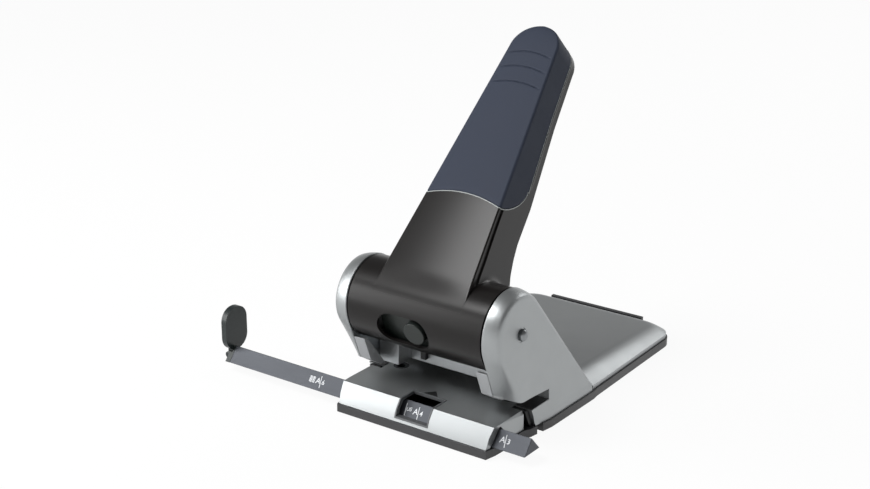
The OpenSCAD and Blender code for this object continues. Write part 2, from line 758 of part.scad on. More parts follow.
// A point at place q of the section, set in by e. Stations t from 0 to 1 run from u0 to the tip's
// centre, and from 1 to 2 round the tip.
function lever_point(q, e, t, u0) =
    let (turn = t > 1 ? tip_turn * (t - 1) : 0,
        u = t > 1 ? tip_u + (tip_half - e) * sin(turn) : lerp(u0, tip_u, t),
        half = t > 1 ? (tip_half - e) * cos(turn) : half_at(u) - e,
        top = face_w - e - tip_drop * (1 - cos(turn)), low = back_at(u) + tip_back_rise * (1 - cos(turn)),
        r = max(0.4, min(face_corner - e / 2, half * 0.6)),
        camber = face_camber * (1 - q[0] * q[0]) * half / tip_half)
    [q[0] * (half - r) + r * q[1], u, lerp(low, top - r, q[2]) + r * q[3] + camber];

// Where the neck starts on the drum, and where the grip starts, at a place of the section
function drum_edge(q, e) =
    let (r = drum_r + neck_gap, w = lever_point(q, e, 0, drum_r / 2)[2])
    abs(w) < r ? sqrt(r * r - w * w) : 0;
function grip_edge(q) =
    let (t = min(1, (1 - q[2]) / (1 - seam - seam_step)))
    grip_start + (q[2] < 1 ? grip_rise * t + grip_corner * (1 - sqrt(1 - t * t))
        : grip_arch * (1 - q[0] * q[0]));

tip_stations = [for (i = [1 : 7]) 1 + i / 7];
body_stations = [for (i = [0 : 8]) i / 8];

module neck_shell() {
    cavity = neck_wall + grip_t;
    // places that lie under the grip are set in from it by its thickness
    function set_in(q) = q[2] > seam ? grip_t + run_fit : 0;
    function under(q) = q[2] == seam + seam_step ? [q[0], q[1], seam, q[3]] : q;
    // below the grip, at share f of the way from the drum to the grip's edge
    function neck_point(q, e, f) =
        let (u = lerp(drum_edge(q, e), grip_edge(q) - run_fit, f)) lever_point(q, e, 0, u);
    // the root's end face follows the drum's curve
    outer = concat(
        [for (i = [2, 1]) [for (q = lever_section) neck_point(q, cavity * i / 3, 0)]],
        [for (i = [0 : 4]) [for (q = lever_section) neck_point(q, 0, i / 4)]],
        [for (t = concat(body_stations, tip_stations)) [for (q = lever_section)
            lever_point(under(q), set_in(q), t, grip_edge(q))]]);
    inner = concat(
        [for (i = [0 : 6]) [for (q = lever_section) neck_point(q, cavity, i / 6)]],
        [for (t = concat(body_stations, tip_stations)) [for (q = lever_section)
            lever_point(q, cavity, t, grip_edge(q) + (t == 0 ? run_fit : 0))]]);
    color("#2b2b2c") lever_frame() wall(outer, inner);
}

module grip() {
    places = [for (q = lever_section) if (q[2] >= seam) q];
    function skin(e) = [for (t = concat(body_stations, tip_stations)) [for (q = places)
        lever_point(q, e, t, grip_edge(q))]];
    color("#4c5263") lever_frame() wall(skin(0), skin(grip_t));
}

module lever_underside() {
    inset = neck_wall + grip_t + gap;
    start = 26;
    end = tip_u - 6.5;
    // it bends where the lever's depth does, so that it lies flat under the screws' heads
    bends = [for (p = lever_depths) if (p[0] > start + 1 && p[0] < end - 1) p[0]];
    color("#1f2021") lever_frame() difference() {
        loft([for (u = concat([start], bends, [end])) let (hw = half_at(u) - inset, low = back_at(u))
            [[hw, u, low], [hw, u, low + 2.2], [-hw, u, low + 2.2], [-hw, u, low]]]);
        for (u = lever_screw_u) translate([0, u, -big / 2]) cylinder(r = screw_r + run_fit, h = big);
    }
}

module lever_screws() {
    color("#8a8d90") lever_frame() for (u = lever_screw_u)
        let (low = back_at(u)) translate([0, u, 0]) {
            translate([0, 0, low - 2]) difference() {
                cylinder(r = 3.1, h = 1.6);
                translate([-2.2, -0.35, -1]) cube([4.4, 0.7, 1.7]);
                translate([-0.35, -2.2, -1]) cube([0.7, 4.4, 1.7]);
            }
            translate([0, 0, low - 0.5]) cylinder(r = screw_r, h = core_low_w + 2.8 - low + 0.5);
        }
}

module lever_core() {
    color("#7d8387") lever_frame() difference() {
        union() {
            for (s = [-1, 1]) translate([s * (core_half - core_t / 2) - core_t / 2, 0, 0])
                rotate([90, 0, 90]) linear_extrude(height = core_t) {
                    circle(r = hub_r + 5);
                    polygon([[0, -hub_r - 4], [12, core_low_w - 8], [24, core_low_w], [core_len, core_low_w],
                        [core_len, core_high_w - 4], [core_len / 3, core_high_w], [0, hub_r + 5]]);
                }
            translate([-core_half, 24, core_low_w]) cube([2 * core_half, core_len - 24, core_t]);
        }
        translate([-big / 2, 0, 0]) rotate([0, 90, 0]) cylinder(r = hub_r + run_fit, h = big);
        for (u = lever_screw_u) translate([0, u, 0]) cylinder(r = screw_r + run_fit, h = big);
    }
}

module hub_tube() {
    end = hole_x - cam_t / 2 - gap;
    color("#888d91") difference() {
        rod_x(-end, end, hub_r, axle_y, axle_z);
        rod_x(-big / 2, big / 2, axle_d / 2 + run_fit, axle_y, axle_z);
    }
}

// Cam edge: the flat punch head is always touched straight above the punch's own axis
function cam_point(a) =
    let (p = cam_lift + cam_base_r * a * PI / 180, psi = a - 90)
    [p * cos(psi) - cam_base_r * sin(psi), p * sin(psi) + cam_base_r * cos(psi)];

module cam_right() {
    steps = 12;
    past = 3;
    edge = [for (i = [0 : steps]) cam_point((press_angle + past) * i / steps)];
    back = [for (a = [20, 45, 70]) (norm(edge[steps]) - 0.5) * [cos(a), sin(a)]];
    color("#9a9fa3") along_x(hole_x - cam_t / 2, hole_x + cam_t / 2) translate([axle_y, axle_z])
        difference() {
            union() {
                circle(r = hub_r + 1);
                polygon(concat([[0, 0], [hub_r, cam_lift]], [[cam_base_r - head_d / 2 - 0.5, cam_lift]],
                    edge, back, [[-4, hub_r]]));
            }
            circle(r = axle_d / 2 + run_fit);
        }
}

module drum_end_right() {
    color("#242526") difference() {
        rod_x(hole_x + head_d / 2 + gap, drum_len / 2 - gap, drum_in_r - run_fit, axle_y, axle_z);
        rod_x(0, big, axle_d / 2 + run_fit, axle_y, axle_z);
    }
}

// Turns what follows so that its -Y points out of the drum through the cut-out
module cutout_frame(x) {
    translate([x, axle_y, axle_z]) rotate([cut_down, 0, 0]) children();
}

module drum_shell() {
    straight = cutout_w - cutout_h;
    color("#1d1d1e") difference() {
        translate([-drum_len / 2, axle_y, axle_z]) rotate([90, 0, 90]) rotate([0, 0, drum_open_to])
            rotate_extrude(angle = 360 - (drum_open_to - drum_open_from), $fn = 96)
                translate([drum_in_r, 0]) square([drum_wall, drum_len]);
        // the lock's cut-out in the front
        cutout_frame(cut_x) {
            translate([-straight / 2, -big, -cutout_h / 2]) cube([straight, big, cutout_h]);
            for (s = [-1, 1]) translate([s * straight / 2, 0, 0]) rotate([90, 0, 0])
                cylinder(r = cutout_h / 2, h = big);
        }
        // way through to the neck for the core
        lever_frame() translate([-core_half - 1, 0, core_low_w - 2])
            cube([2 * core_half + 2, big, core_high_w - core_low_w + 4]);
    }
}

// The knob shows in the cut-out. Its plate behind the drum's wall keeps it there and fills the
// cut-out wherever the knob stands.
module lock_slider() {
    plate_h = cutout_h + 6;
    plate_half_w = 28;
    plate_out = sqrt(pow(drum_in_r - gap, 2) - pow(plate_h / 2, 2)) - 0.2;
    knob_out = sqrt(pow(drum_r, 2) - pow(knob_r, 2));
    color("#2e3032") cutout_frame(knob_x) {
        rotate([90, 0, 0]) translate([0, 0, plate_out - 1])
            cylinder(r = knob_r, h = knob_out - plate_out + 1);
        translate([-plate_half_w - knob_x, -plate_out, -plate_h / 2]) cube([2 * plate_half_w, 2.6, plate_h]);
    }
}

// ---------- punches ----------

module punch(x) {
    r = hole_d / 2;
    notch = 1.6;
    color("#c4c8cb") translate([x, 0, 0]) {
        difference() {
            translate([0, 0, tip_z]) cylinder(r = r, h = head_top - tip_z - 1);
            // the cutting end is hollowed across, so that it bites at its edges first
            translate([0, big / 2, tip_z - 0.01]) rotate([90, 0, 0]) linear_extrude(height = big)
                polygon([[-r + 0.3, 0], [r - 0.3, 0], [0, notch]]);
        }
        translate([0, 0, head_top - head_h]) cylinder(r = head_d / 2, h = head_h);
    }
}

// ---------- guide bar and flag ----------

module bar_section() {
    polygon([[bar_front, bar_z], bar_apex, [bar_back, bar_z]]);
}

module guide_bar() {
    color("#5e6166") along_x(bar_left, bar_right) bar_section();
}

// Cap on the bar's end, open in its middle for the flag's knuckle
module flag_bracket() {
    half = 5;
    ear = 2;
    foot_room = pin_x + ear_r + 0.5;
    color("#26292a") difference() {
        union() {
            difference() {
                along_x(pin_x + 0.4, bar_left) bar_section();
                translate([pin_x - 5, -big / 2, pin_z + ear_r + 0.1]) cube([foot_room - pin_x + 5, big, big]);
            }
            intersection() {
                along_x(pin_x - 5, bar_left - 0.5) bar_section();
                for (y = [pin_y - half, pin_y + half - ear]) {
                    translate([pin_x, y, pin_z - ear_r]) cube([3, ear, 2 * ear_r]);
                    translate([pin_x, y, pin_z]) rotate([-90, 0, 0]) cylinder(r = ear_r, h = ear);
                }
            }
        }
        translate([pin_x, pin_y, pin_z]) rotate([90, 0, 0]) cylinder(r = pin_r + run_fit, h = 9, center = true);
        translate([pin_x - 5, pin_y - half + ear, pin_z - ear_r - 1])
            cube([foot_room - pin_x + 5, 2 * (half - ear), big]);
    }
}

module flag_pin() {
    color("#8b8f92") translate([pin_x, pin_y, pin_z]) rotate([90, 0, 0])
        cylinder(r = pin_r, h = 8.9, center = true);
}

module stop_flag() {
    knuckle = 5.6;
    lift = ear_r + 0.4;
    corner = flag_w / 2 - 0.55;
    color("#262e2e") difference() {
        union() {
            translate([pin_x, pin_y + knuckle / 2, pin_z]) rotate([90, 0, 0])
                cylinder(r = ear_r, h = knuckle);
            translate([pin_x - ear_r + 0.4, pin_y - knuckle / 2, pin_z])
                cube([2 * ear_r - 0.8, knuckle, lift + 2]);
            along_x(pin_x - flag_t / 2, pin_x + flag_t / 2) translate([flag_y - flag_w / 2, pin_z + lift]) {
                translate([corner, 0]) square([flag_w - 2 * corner, flag_h]);
                translate([0, corner]) square([flag_w, flag_h - 2 * corner]);
                for (y = [corner, flag_w - corner], z = [corner, flag_h - corner])
                    translate([y, z]) circle(r = corner);
            }
        }
        translate([pin_x, 0, pin_z]) rotate([90, 0, 0]) cylinder(r = pin_r + run_fit, h = big, center = true);
    }
}

echo(spring_gap = spring_gap(spring_line(hole_x)));

bottom_frame();
rubber_feet();
base_plate();
left() side_frame_right();  // side_frame_left
side_frame_right();
left() arm_rib_right();  // arm_rib_left
arm_rib_right();
front_platform();
window_frame();
centre_pointer();
die_bush(-hole_x);  // die_left
die_bush(hole_x);  // die_right
left() groove_strip_right();  // groove_strip_left
groove_strip_right();
left() cheek_right();  // cheek_left
cheek_right();
rear_cover();
paper_stop();
left() punch_guide();  // punch_guide_left
punch_guide();  // punch_guide_right
bridge_plate();
lock_catch();
axle();
axle_clips();
bar_detents();
base_screws();
return_spring(-hole_x);  // return_spring_left
return_spring(hole_x);  // return_spring_right
chip_tray();
tray_pad();
drum_shell();
left() drum_end_right();  // drum_end_left
drum_end_right();
hub_tube();
left() cam_right();  // cam_left
cam_right();
lever_core();
neck_shell();
grip();
lever_underside();
lever_screws();
lock_slider();
punch(-hole_x);  // punch_left
punch(hole_x);  // punch_right
guide_bar();
flag_bracket();
flag_pin();
stop_flag();
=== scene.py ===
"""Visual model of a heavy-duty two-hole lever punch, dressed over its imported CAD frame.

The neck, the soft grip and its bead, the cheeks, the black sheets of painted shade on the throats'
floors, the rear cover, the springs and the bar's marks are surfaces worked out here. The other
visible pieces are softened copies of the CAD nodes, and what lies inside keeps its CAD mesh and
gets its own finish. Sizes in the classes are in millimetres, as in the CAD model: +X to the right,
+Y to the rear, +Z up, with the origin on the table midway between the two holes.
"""
import json
import logging
import math
from contextlib import contextmanager
from dataclasses import dataclass, field
from enum import Enum
from typing import Any, Dict, Iterator, List, Optional, Sequence, Tuple

import bmesh
import bpy
import numpy as np
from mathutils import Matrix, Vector

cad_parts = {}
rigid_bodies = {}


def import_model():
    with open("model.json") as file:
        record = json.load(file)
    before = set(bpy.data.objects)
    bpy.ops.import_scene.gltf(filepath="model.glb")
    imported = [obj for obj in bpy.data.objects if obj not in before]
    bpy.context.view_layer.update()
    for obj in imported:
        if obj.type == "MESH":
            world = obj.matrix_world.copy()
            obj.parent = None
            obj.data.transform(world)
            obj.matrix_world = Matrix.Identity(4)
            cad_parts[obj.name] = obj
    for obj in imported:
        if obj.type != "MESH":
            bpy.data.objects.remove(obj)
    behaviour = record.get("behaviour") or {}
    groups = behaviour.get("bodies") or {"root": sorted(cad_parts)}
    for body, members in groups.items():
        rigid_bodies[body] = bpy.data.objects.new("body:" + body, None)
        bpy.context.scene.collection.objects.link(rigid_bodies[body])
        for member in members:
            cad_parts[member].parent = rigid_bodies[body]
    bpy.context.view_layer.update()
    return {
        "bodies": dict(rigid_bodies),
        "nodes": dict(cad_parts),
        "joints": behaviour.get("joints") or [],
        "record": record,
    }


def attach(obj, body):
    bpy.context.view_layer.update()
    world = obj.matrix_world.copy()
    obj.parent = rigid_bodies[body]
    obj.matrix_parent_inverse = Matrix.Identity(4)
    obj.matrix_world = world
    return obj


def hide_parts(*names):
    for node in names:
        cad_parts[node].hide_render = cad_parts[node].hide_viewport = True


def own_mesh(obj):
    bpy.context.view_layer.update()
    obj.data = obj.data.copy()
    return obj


LOG = logging.getLogger("punch")
MM = 0.001
QUARTER = np.pi / 2
Triple = Tuple[float, float, float]


class Body(Enum):
    """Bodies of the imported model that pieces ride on."""

    BASE = "base"
    LEVER = "lever"
    LOCK = "lock"
    LEFT_PUNCH = "left_punch"
    RIGHT_PUNCH = "right_punch"
    BAR = "bar"
    FLAG = "flag"
    TRAY = "tray"


# ---------------------------------------------------------------------------------------------
# Finishes


def linear(hex_colour: str) -> Tuple[float, float, float, float]:
    """Turn an sRGB hex colour to linear RGBA by the standard sRGB curve.

    Args:
        hex_colour: A colour such as "#3c3c3e".

    Returns:
        Red, green, blue and an alpha of 1.
    """
    parts = [int(hex_colour[i:i + 2], 16) / 255 for i in (1, 3, 5)]
    r, g, b = (c / 12.92 if c <= 0.04045 else ((c + 0.055) / 1.055) ** 2.4 for c in parts)
    return (r, g, b, 1.0)


def add_node(tree: bpy.types.NodeTree, kind: str, settings: Optional[Dict[str, Any]] = None,
             links: Optional[Dict[Any, bpy.types.NodeSocket]] = None) -> bpy.types.Node:
    """Add a node with its settings and links.

    Args:
        tree: The tree that gets the node.
        kind: The node's type.
        settings: Attributes of the node, or values of its inputs, by name.
        links: Sockets that feed its inputs, by the input's name or number.

    Returns:
        The new node.
    """
    node = tree.nodes.new(kind)
    for name, value in (settings or {}).items():
        if isinstance(name, str) and hasattr(node, name):
            setattr(node, name, value)
        else:
            node.inputs[name].default_value = value
    for name, socket in (links or {}).items():
        tree.links.new(socket, node.inputs[name])
    return node


def cleared_tree(owner: Any) -> bpy.types.NodeTree:
    """Turn on the nodes of a material or world, and return its tree emptied.

    Args:
        owner: The material or world.

    Returns:
        Its node tree, without nodes.
    """
    owner.use_nodes = True
    owner.node_tree.nodes.clear()
    return owner.node_tree


@dataclass(frozen=True)
class Finish:
    """A finish as the maker applies it: base colour, faint clouding, fine grain and gloss."""

    name: str
    colour: str
    cloud: str
    roughness: float
    metallic: float = 0.0
    ior: float = 1.5
    cloud_mm: float = 14.0
    grain_mm: float = 0.5
    grain_depth_mm: float = 0.01
    roughness_spread: float = 0.06
    stretch: Triple = (1.0, 1.0, 1.0)

    def build(self) -> bpy.types.Material:
        """Build the material: clouded colour, uneven gloss and fine grain on Object coordinates.

        Returns:
            The material.
        """
        material = bpy.data.materials.new(self.name)
        tree = cleared_tree(material)
        shader = add_node(tree, "ShaderNodeBsdfPrincipled", {"Metallic": self.metallic})
        if self.metallic < 1.0:
            shader.inputs["IOR"].default_value = self.ior
        place = add_node(tree, "ShaderNodeTexCoord")
        stretched = add_node(tree, "ShaderNodeMapping", {"Scale": self.stretch},
                             {"Vector": place.outputs["Object"]})
        clouds = add_node(tree, "ShaderNodeTexNoise", {
            "Scale": 1.0 / (self.cloud_mm * MM), "Detail": 3.0, "Roughness": 0.55},
            {"Vector": stretched.outputs["Vector"]})
        tint = add_node(tree, "ShaderNodeMix", {"data_type": "RGBA"}, {0: clouds.outputs["Fac"]})
        tint.inputs[6].default_value = linear(self.colour)
        tint.inputs[7].default_value = linear(self.cloud)
        tree.links.new(tint.outputs[2], shader.inputs["Base Color"])
        # most of the noise's values lie between 0.3 and 0.7
        gloss = add_node(tree, "ShaderNodeMapRange", {
            "From Min": 0.3, "From Max": 0.7, "To Min": self.roughness - self.roughness_spread / 2,
            "To Max": self.roughness + self.roughness_spread / 2}, {"Value": clouds.outputs["Fac"]})
        tree.links.new(gloss.outputs["Result"], shader.inputs["Roughness"])
        grain = add_node(tree, "ShaderNodeTexNoise", {
            "Scale": 1.0 / (self.grain_mm * MM), "Detail": 2.0},
            {"Vector": stretched.outputs["Vector"]})
        bump = add_node(tree, "ShaderNodeBump", {
            "Strength": 1.0, "Distance": self.grain_depth_mm * MM},
            {"Height": grain.outputs["Fac"]})
        tree.links.new(bump.outputs["Normal"], shader.inputs["Normal"])
        add_node(tree, "ShaderNodeOutputMaterial", None, {"Surface": shader.outputs["BSDF"]})
        return material


class Coat(Enum):
    """The finishes of the punch, each named for what the real one is and how it was made, save
    where a comment says it holds painted light.
    """

    # Glass-filled ABS, moulded with a fine spark-eroded grain: dark, evenly satin.
    FRAME_PLASTIC = Finish("frame_abs_moulded", "#2f2f31", "#363638", 0.42, ior=1.5,
                           grain_mm=0.6, grain_depth_mm=0.012)
    # Moulded natural rubber: dull, with a dusty bloom.
    RUBBER = Finish("foot_rubber_moulded", "#55565a", "#66676a", 0.85, ior=1.52,
                    cloud_mm=3.0, grain_mm=0.5, grain_depth_mm=0.03)
    # Cold-rolled steel with a clear zinc plating: grey, faint blotches along the rolling.
    PLATE_STEEL = Finish("plate_zinc_plated_steel", "#9ea2a6", "#8b9094", 0.38, 1.0,
                         cloud_mm=6.0, stretch=(1.0, 0.25, 1.0), grain_mm=0.5)
    # Die cast zinc with a silver lacquer: fine aluminium flake, satin.
    SILVER = Finish("casting_silver_lacquer", "#a4a7a8", "#9fa2a3", 0.4, 0.9, ior=1.5,
                    cloud_mm=20.0, grain_mm=0.35, grain_depth_mm=0.003, roughness_spread=0.04)
    # A lit copy of the same lacquer for the castings' inner faces, lighter and less metallic so
    # that they read light where their reflections are shut out: painted light.
    SILVER_LIT_INSIDE = Finish("casting_lacquer_lit_inside", "#a8aaac", "#a0a2a4", 0.5, 0.35, cloud_mm=12.0)
    # Moulded ABS trim round the window: dark grey, satin.
    WINDOW_TRIM = Finish("window_trim_abs", "#4c4e50", "#545658", 0.38, ior=1.5, cloud_mm=4.0)
    # Moulded ABS in black, for the groove strips, the stop and the catch.
    BLACK_TRIM = Finish("black_trim_abs", "#101112", "#151617", 0.42, ior=1.4, cloud_mm=5.0)
    # Hardened and ground tool steel: bright, with fine rings from grinding.
    TOOL_STEEL = Finish("punch_ground_tool_steel", "#c9cccf", "#babdc1", 0.18, 1.0,
                        cloud_mm=2.0, stretch=(0.2, 0.2, 4.0), grain_mm=0.3)
    # Tool steel of the dies, blackened by hot oxide and oiled.
    BLACKENED_STEEL = Finish("die_blackened_steel", "#3a3d3f", "#434648", 0.4, 0.9, cloud_mm=2.0)
    # Zinc die casting, tumbled and left bare: light, soft gloss.
    GUIDE_METAL = Finish("guide_zinc_die_casting", "#b4b6b7", "#a3a6a8", 0.42, 0.75,
                         cloud_mm=5.0, grain_mm=0.4, grain_depth_mm=0.004)
    # Turned and polished steel rod.
    BRIGHT_STEEL = Finish("axle_polished_steel", "#8f9294", "#85888a", 0.35, 1.0,
                          cloud_mm=1.5, grain_mm=0.3, grain_depth_mm=0.004)
    # Drawn spring steel wire, oiled.
    SPRING_STEEL = Finish("spring_drawn_wire", "#9a9ea2", "#7f8387", 0.3, 1.0, cloud_mm=1.2)
    # ABS moulded in a polished mould: deep gloss black with the least orange peel.
    GLOSS_BLACK = Finish("drum_gloss_abs", "#161413", "#181616", 0.29, ior=1.34,
                         cloud_mm=60.0, grain_mm=2.6, grain_depth_mm=0.001, roughness_spread=0.004)
    # ABS moulded with a fine texture.
    MATT_BLACK = Finish("underside_matt_abs", "#1f2021", "#292a2b", 0.55, ior=1.5,
                        grain_mm=0.5, grain_depth_mm=0.02)
    # Thermoplastic elastomer over-moulded on the lever: slate blue, bead-blasted, soft.
    SOFT_GRIP = Finish("grip_tpe_overmoulded", "#2c3240", "#323846", 0.64, ior=1.3, cloud_mm=22.0,
                       grain_mm=0.55, grain_depth_mm=0.01)
    # Drawn aluminium bar, anodised dark grey, brushed along its length.
    BAR_ALUMINIUM = Finish("bar_anodised_aluminium", "#484b51", "#42454b", 0.45, 0.4,
                           cloud_mm=9.0, stretch=(0.12, 1.0, 1.0), grain_mm=0.4,
                           grain_depth_mm=0.006)
    # ABS, satin, near black with a green cast.
    FLAG_PLASTIC = Finish("flag_satin_abs", "#1a2121", "#212929", 0.36, ior=1.45, cloud_mm=8.0)
    # The lock's plate: ABS with a faint green cast, darkened for the shade of the drum over it: its
    # own near-black with painted shade.
    LOCK_PLASTIC = Finish("lock_satin_abs_painted_shade", "#1b201e", "#222725", 0.42, ior=1.4, cloud_mm=6.0)
    # Light grey, polished, for the fine bead round the grip: a painted highlight along its seams
    # and lower edge.
    HIGHLIGHT_BEAD = Finish("bead_painted_highlight", "#b0b5b4", "#a6abaa", 0.3, cloud_mm=4.0)
    # White screen ink, a little uneven where it lies on the brushed metal.
    MARK_INK = Finish("mark_screen_ink", "#e4e6e8", "#d3d6d9", 0.6, ior=1.5, cloud_mm=1.0)


SLOTS: Dict[str, Coat] = {
    "frame_plastic": Coat.FRAME_PLASTIC, "rubber_foot": Coat.RUBBER,
    "plate_steel": Coat.PLATE_STEEL, "silver_casting": Coat.SILVER,
    "window_trim": Coat.WINDOW_TRIM, "black_trim": Coat.BLACK_TRIM,
    "tool_steel": Coat.TOOL_STEEL, "guide_metal": Coat.GUIDE_METAL,
    "bright_steel": Coat.BRIGHT_STEEL, "spring_steel": Coat.SPRING_STEEL,
    "gloss_black": Coat.GLOSS_BLACK, "matt_black": Coat.MATT_BLACK,
    "soft_grip": Coat.SOFT_GRIP, "bar_aluminium": Coat.BAR_ALUMINIUM,
    "flag_plastic": Coat.FLAG_PLASTIC}


# ---------------------------------------------------------------------------------------------
# Meshes

# points nearer than this, in metres, are one point
SAME_POINT = 2e-6


def smoothstep(x: np.ndarray) -> np.ndarray:
    """Return 3x^2 - 2x^3 with x held between 0 and 1."""
    x = np.clip(x, 0.0, 1.0)
    return x * x * (3.0 - 2.0 * x)


def unit_at(angle: np.ndarray) -> np.ndarray:
    """Return the unit vectors (cosine, sine) at some angles."""
    return np.stack([np.cos(angle), np.sin(angle)], axis=-1)


def grid_quads(rows: int, columns: int, first: int = 0) -> np.ndarray:
    """Number the quads of a grid of points stored row by row.

    Args:
        rows: Rows of points.
        columns: Points in a row.
        first: Number of the grid's first point.

    Returns:
        One row of four point numbers for each quad.
    """
    number = first + np.arange(rows * columns).reshape(rows, columns)
    return np.stack([number[:-1, :-1], number[:-1, 1:], number[1:, 1:], number[1:, :-1]],
                    axis=-1).reshape(-1, 4)


def wall_between(outer: np.ndarray, inner: np.ndarray) -> Tuple[np.ndarray, np.ndarray]:
    """Close a wall: an outer grid of points, an inner one and the four edges between them.

    Args:
        outer: Grid of points, row by row.
        inner: Grid of as many points.

    Returns:
        The points, the outer grid's first, and the quads through them.
    """
    rows, columns = outer.shape[:2]
    number = np.arange(rows * columns).reshape(rows, columns)
    rim = np.concatenate([number[0, :], number[1:, -1], number[-1, -2::-1], number[-2:0:-1, 0]])
    low = rim + rows * columns
    edges = np.stack([np.roll(rim, -1), rim, low, np.roll(low, -1)], axis=-1)
    return (np.concatenate([outer.reshape(-1, 3), inner.reshape(-1, 3)]),
            np.concatenate([grid_quads(rows, columns),
                            grid_quads(rows, columns, rows * columns)[:, ::-1], edges]))


def ring_faces(rings: int, count: int) -> List[List[int]]:
    """Number the faces of a solid whose points lie in rings: the quads between, and both ends.

    Args:
        rings: Number of rings.
        count: Points in each ring.

    Returns:
        The quads, followed by the first ring's face and the last one's.
    """
    number = np.arange(rings * count).reshape(rings, count)
    quads = np.stack([number[:-1], np.roll(number[:-1], -1, axis=1),
                      np.roll(number[1:], -1, axis=1), number[1:]], axis=-1).reshape(-1, 4)
    return quads.tolist() + [number[0, ::-1].tolist(), number[-1].tolist()]


def tube_points(line: np.ndarray, radius: float, sides: int) -> np.ndarray:
    """Carry a circle along a line of points.

    Each ring lies square to the line: its first direction is the radial one from the line's middle
    axis, made square to the tangent, and the second is their cross product.

    Args:
        line: Points along the middle of the tube, one in each row.
        radius: Radius of the tube.
        sides: Points in each ring.

    Returns:
        Rings of points, ring by ring.
    """
    tangent = np.gradient(line, axis=0)
    tangent /= np.linalg.norm(tangent, axis=1, keepdims=True)
    outward = line - line.mean(axis=0)
    outward[:, 2] = 0.0
    outward -= (outward * tangent).sum(axis=1, keepdims=True) * tangent
    outward /= np.linalg.norm(outward, axis=1, keepdims=True)
    across = np.cross(tangent, outward)
    turn = np.linspace(0.0, 2.0 * np.pi, sides, endpoint=False)
    ring = (np.cos(turn)[None, :, None] * outward[:, None, :]
            + np.sin(turn)[None, :, None] * across[:, None, :])
    return (line[:, None, :] + radius * ring).reshape(-1, 3)


def mesh_through(name: str, points: np.ndarray, faces: Sequence[Sequence[int]]) -> bpy.types.Mesh:
    """Make a mesh from points in millimetres and the faces through them.

    Args:
        name: Name of the mesh.
        points: Points, one in each row.
        faces: Rows of point numbers.

    Returns:
        The mesh, in metres.
    """
    mesh = bpy.data.meshes.new(name)
    mesh.from_pydata((np.asarray(points) * MM).tolist(), [], faces)
    return mesh


def mesh_of_curve(curve: bpy.types.Curve) -> bpy.types.Mesh:
    """Turn a curve or lettering to a mesh, and remove the curve.

    Args:
        curve: A curve with a thickness, or lettering.

    Returns:
        The mesh.
    """
    holder = bpy.data.objects.new(curve.name, curve)
    mesh = bpy.data.meshes.new_from_object(holder)
    bpy.data.objects.remove(holder)
    bpy.data.curves.remove(curve)
    return mesh


@contextmanager
def reworked(mesh: bpy.types.Mesh) -> Iterator[bmesh.types.BMesh]:
    """Open a mesh for work on its points and faces, and write it back afterwards.

    Args:
        mesh: The mesh.

    Returns:
        The open mesh, for the length of a with block.
    """
    work = bmesh.new()
    work.from_mesh(mesh)
    yield work
    work.to_mesh(mesh)
    work.free()


def linked(name: str, data: Any) -> bpy.types.Object:
    """Make an object of a mesh, lamp or camera and link it to the scene.

    Args:
        name: Name of the object.
        data: What the object holds.

    Returns:
        The object.
    """
    made = bpy.data.objects.new(name, data)
    bpy.context.scene.collection.objects.link(made)
    return made


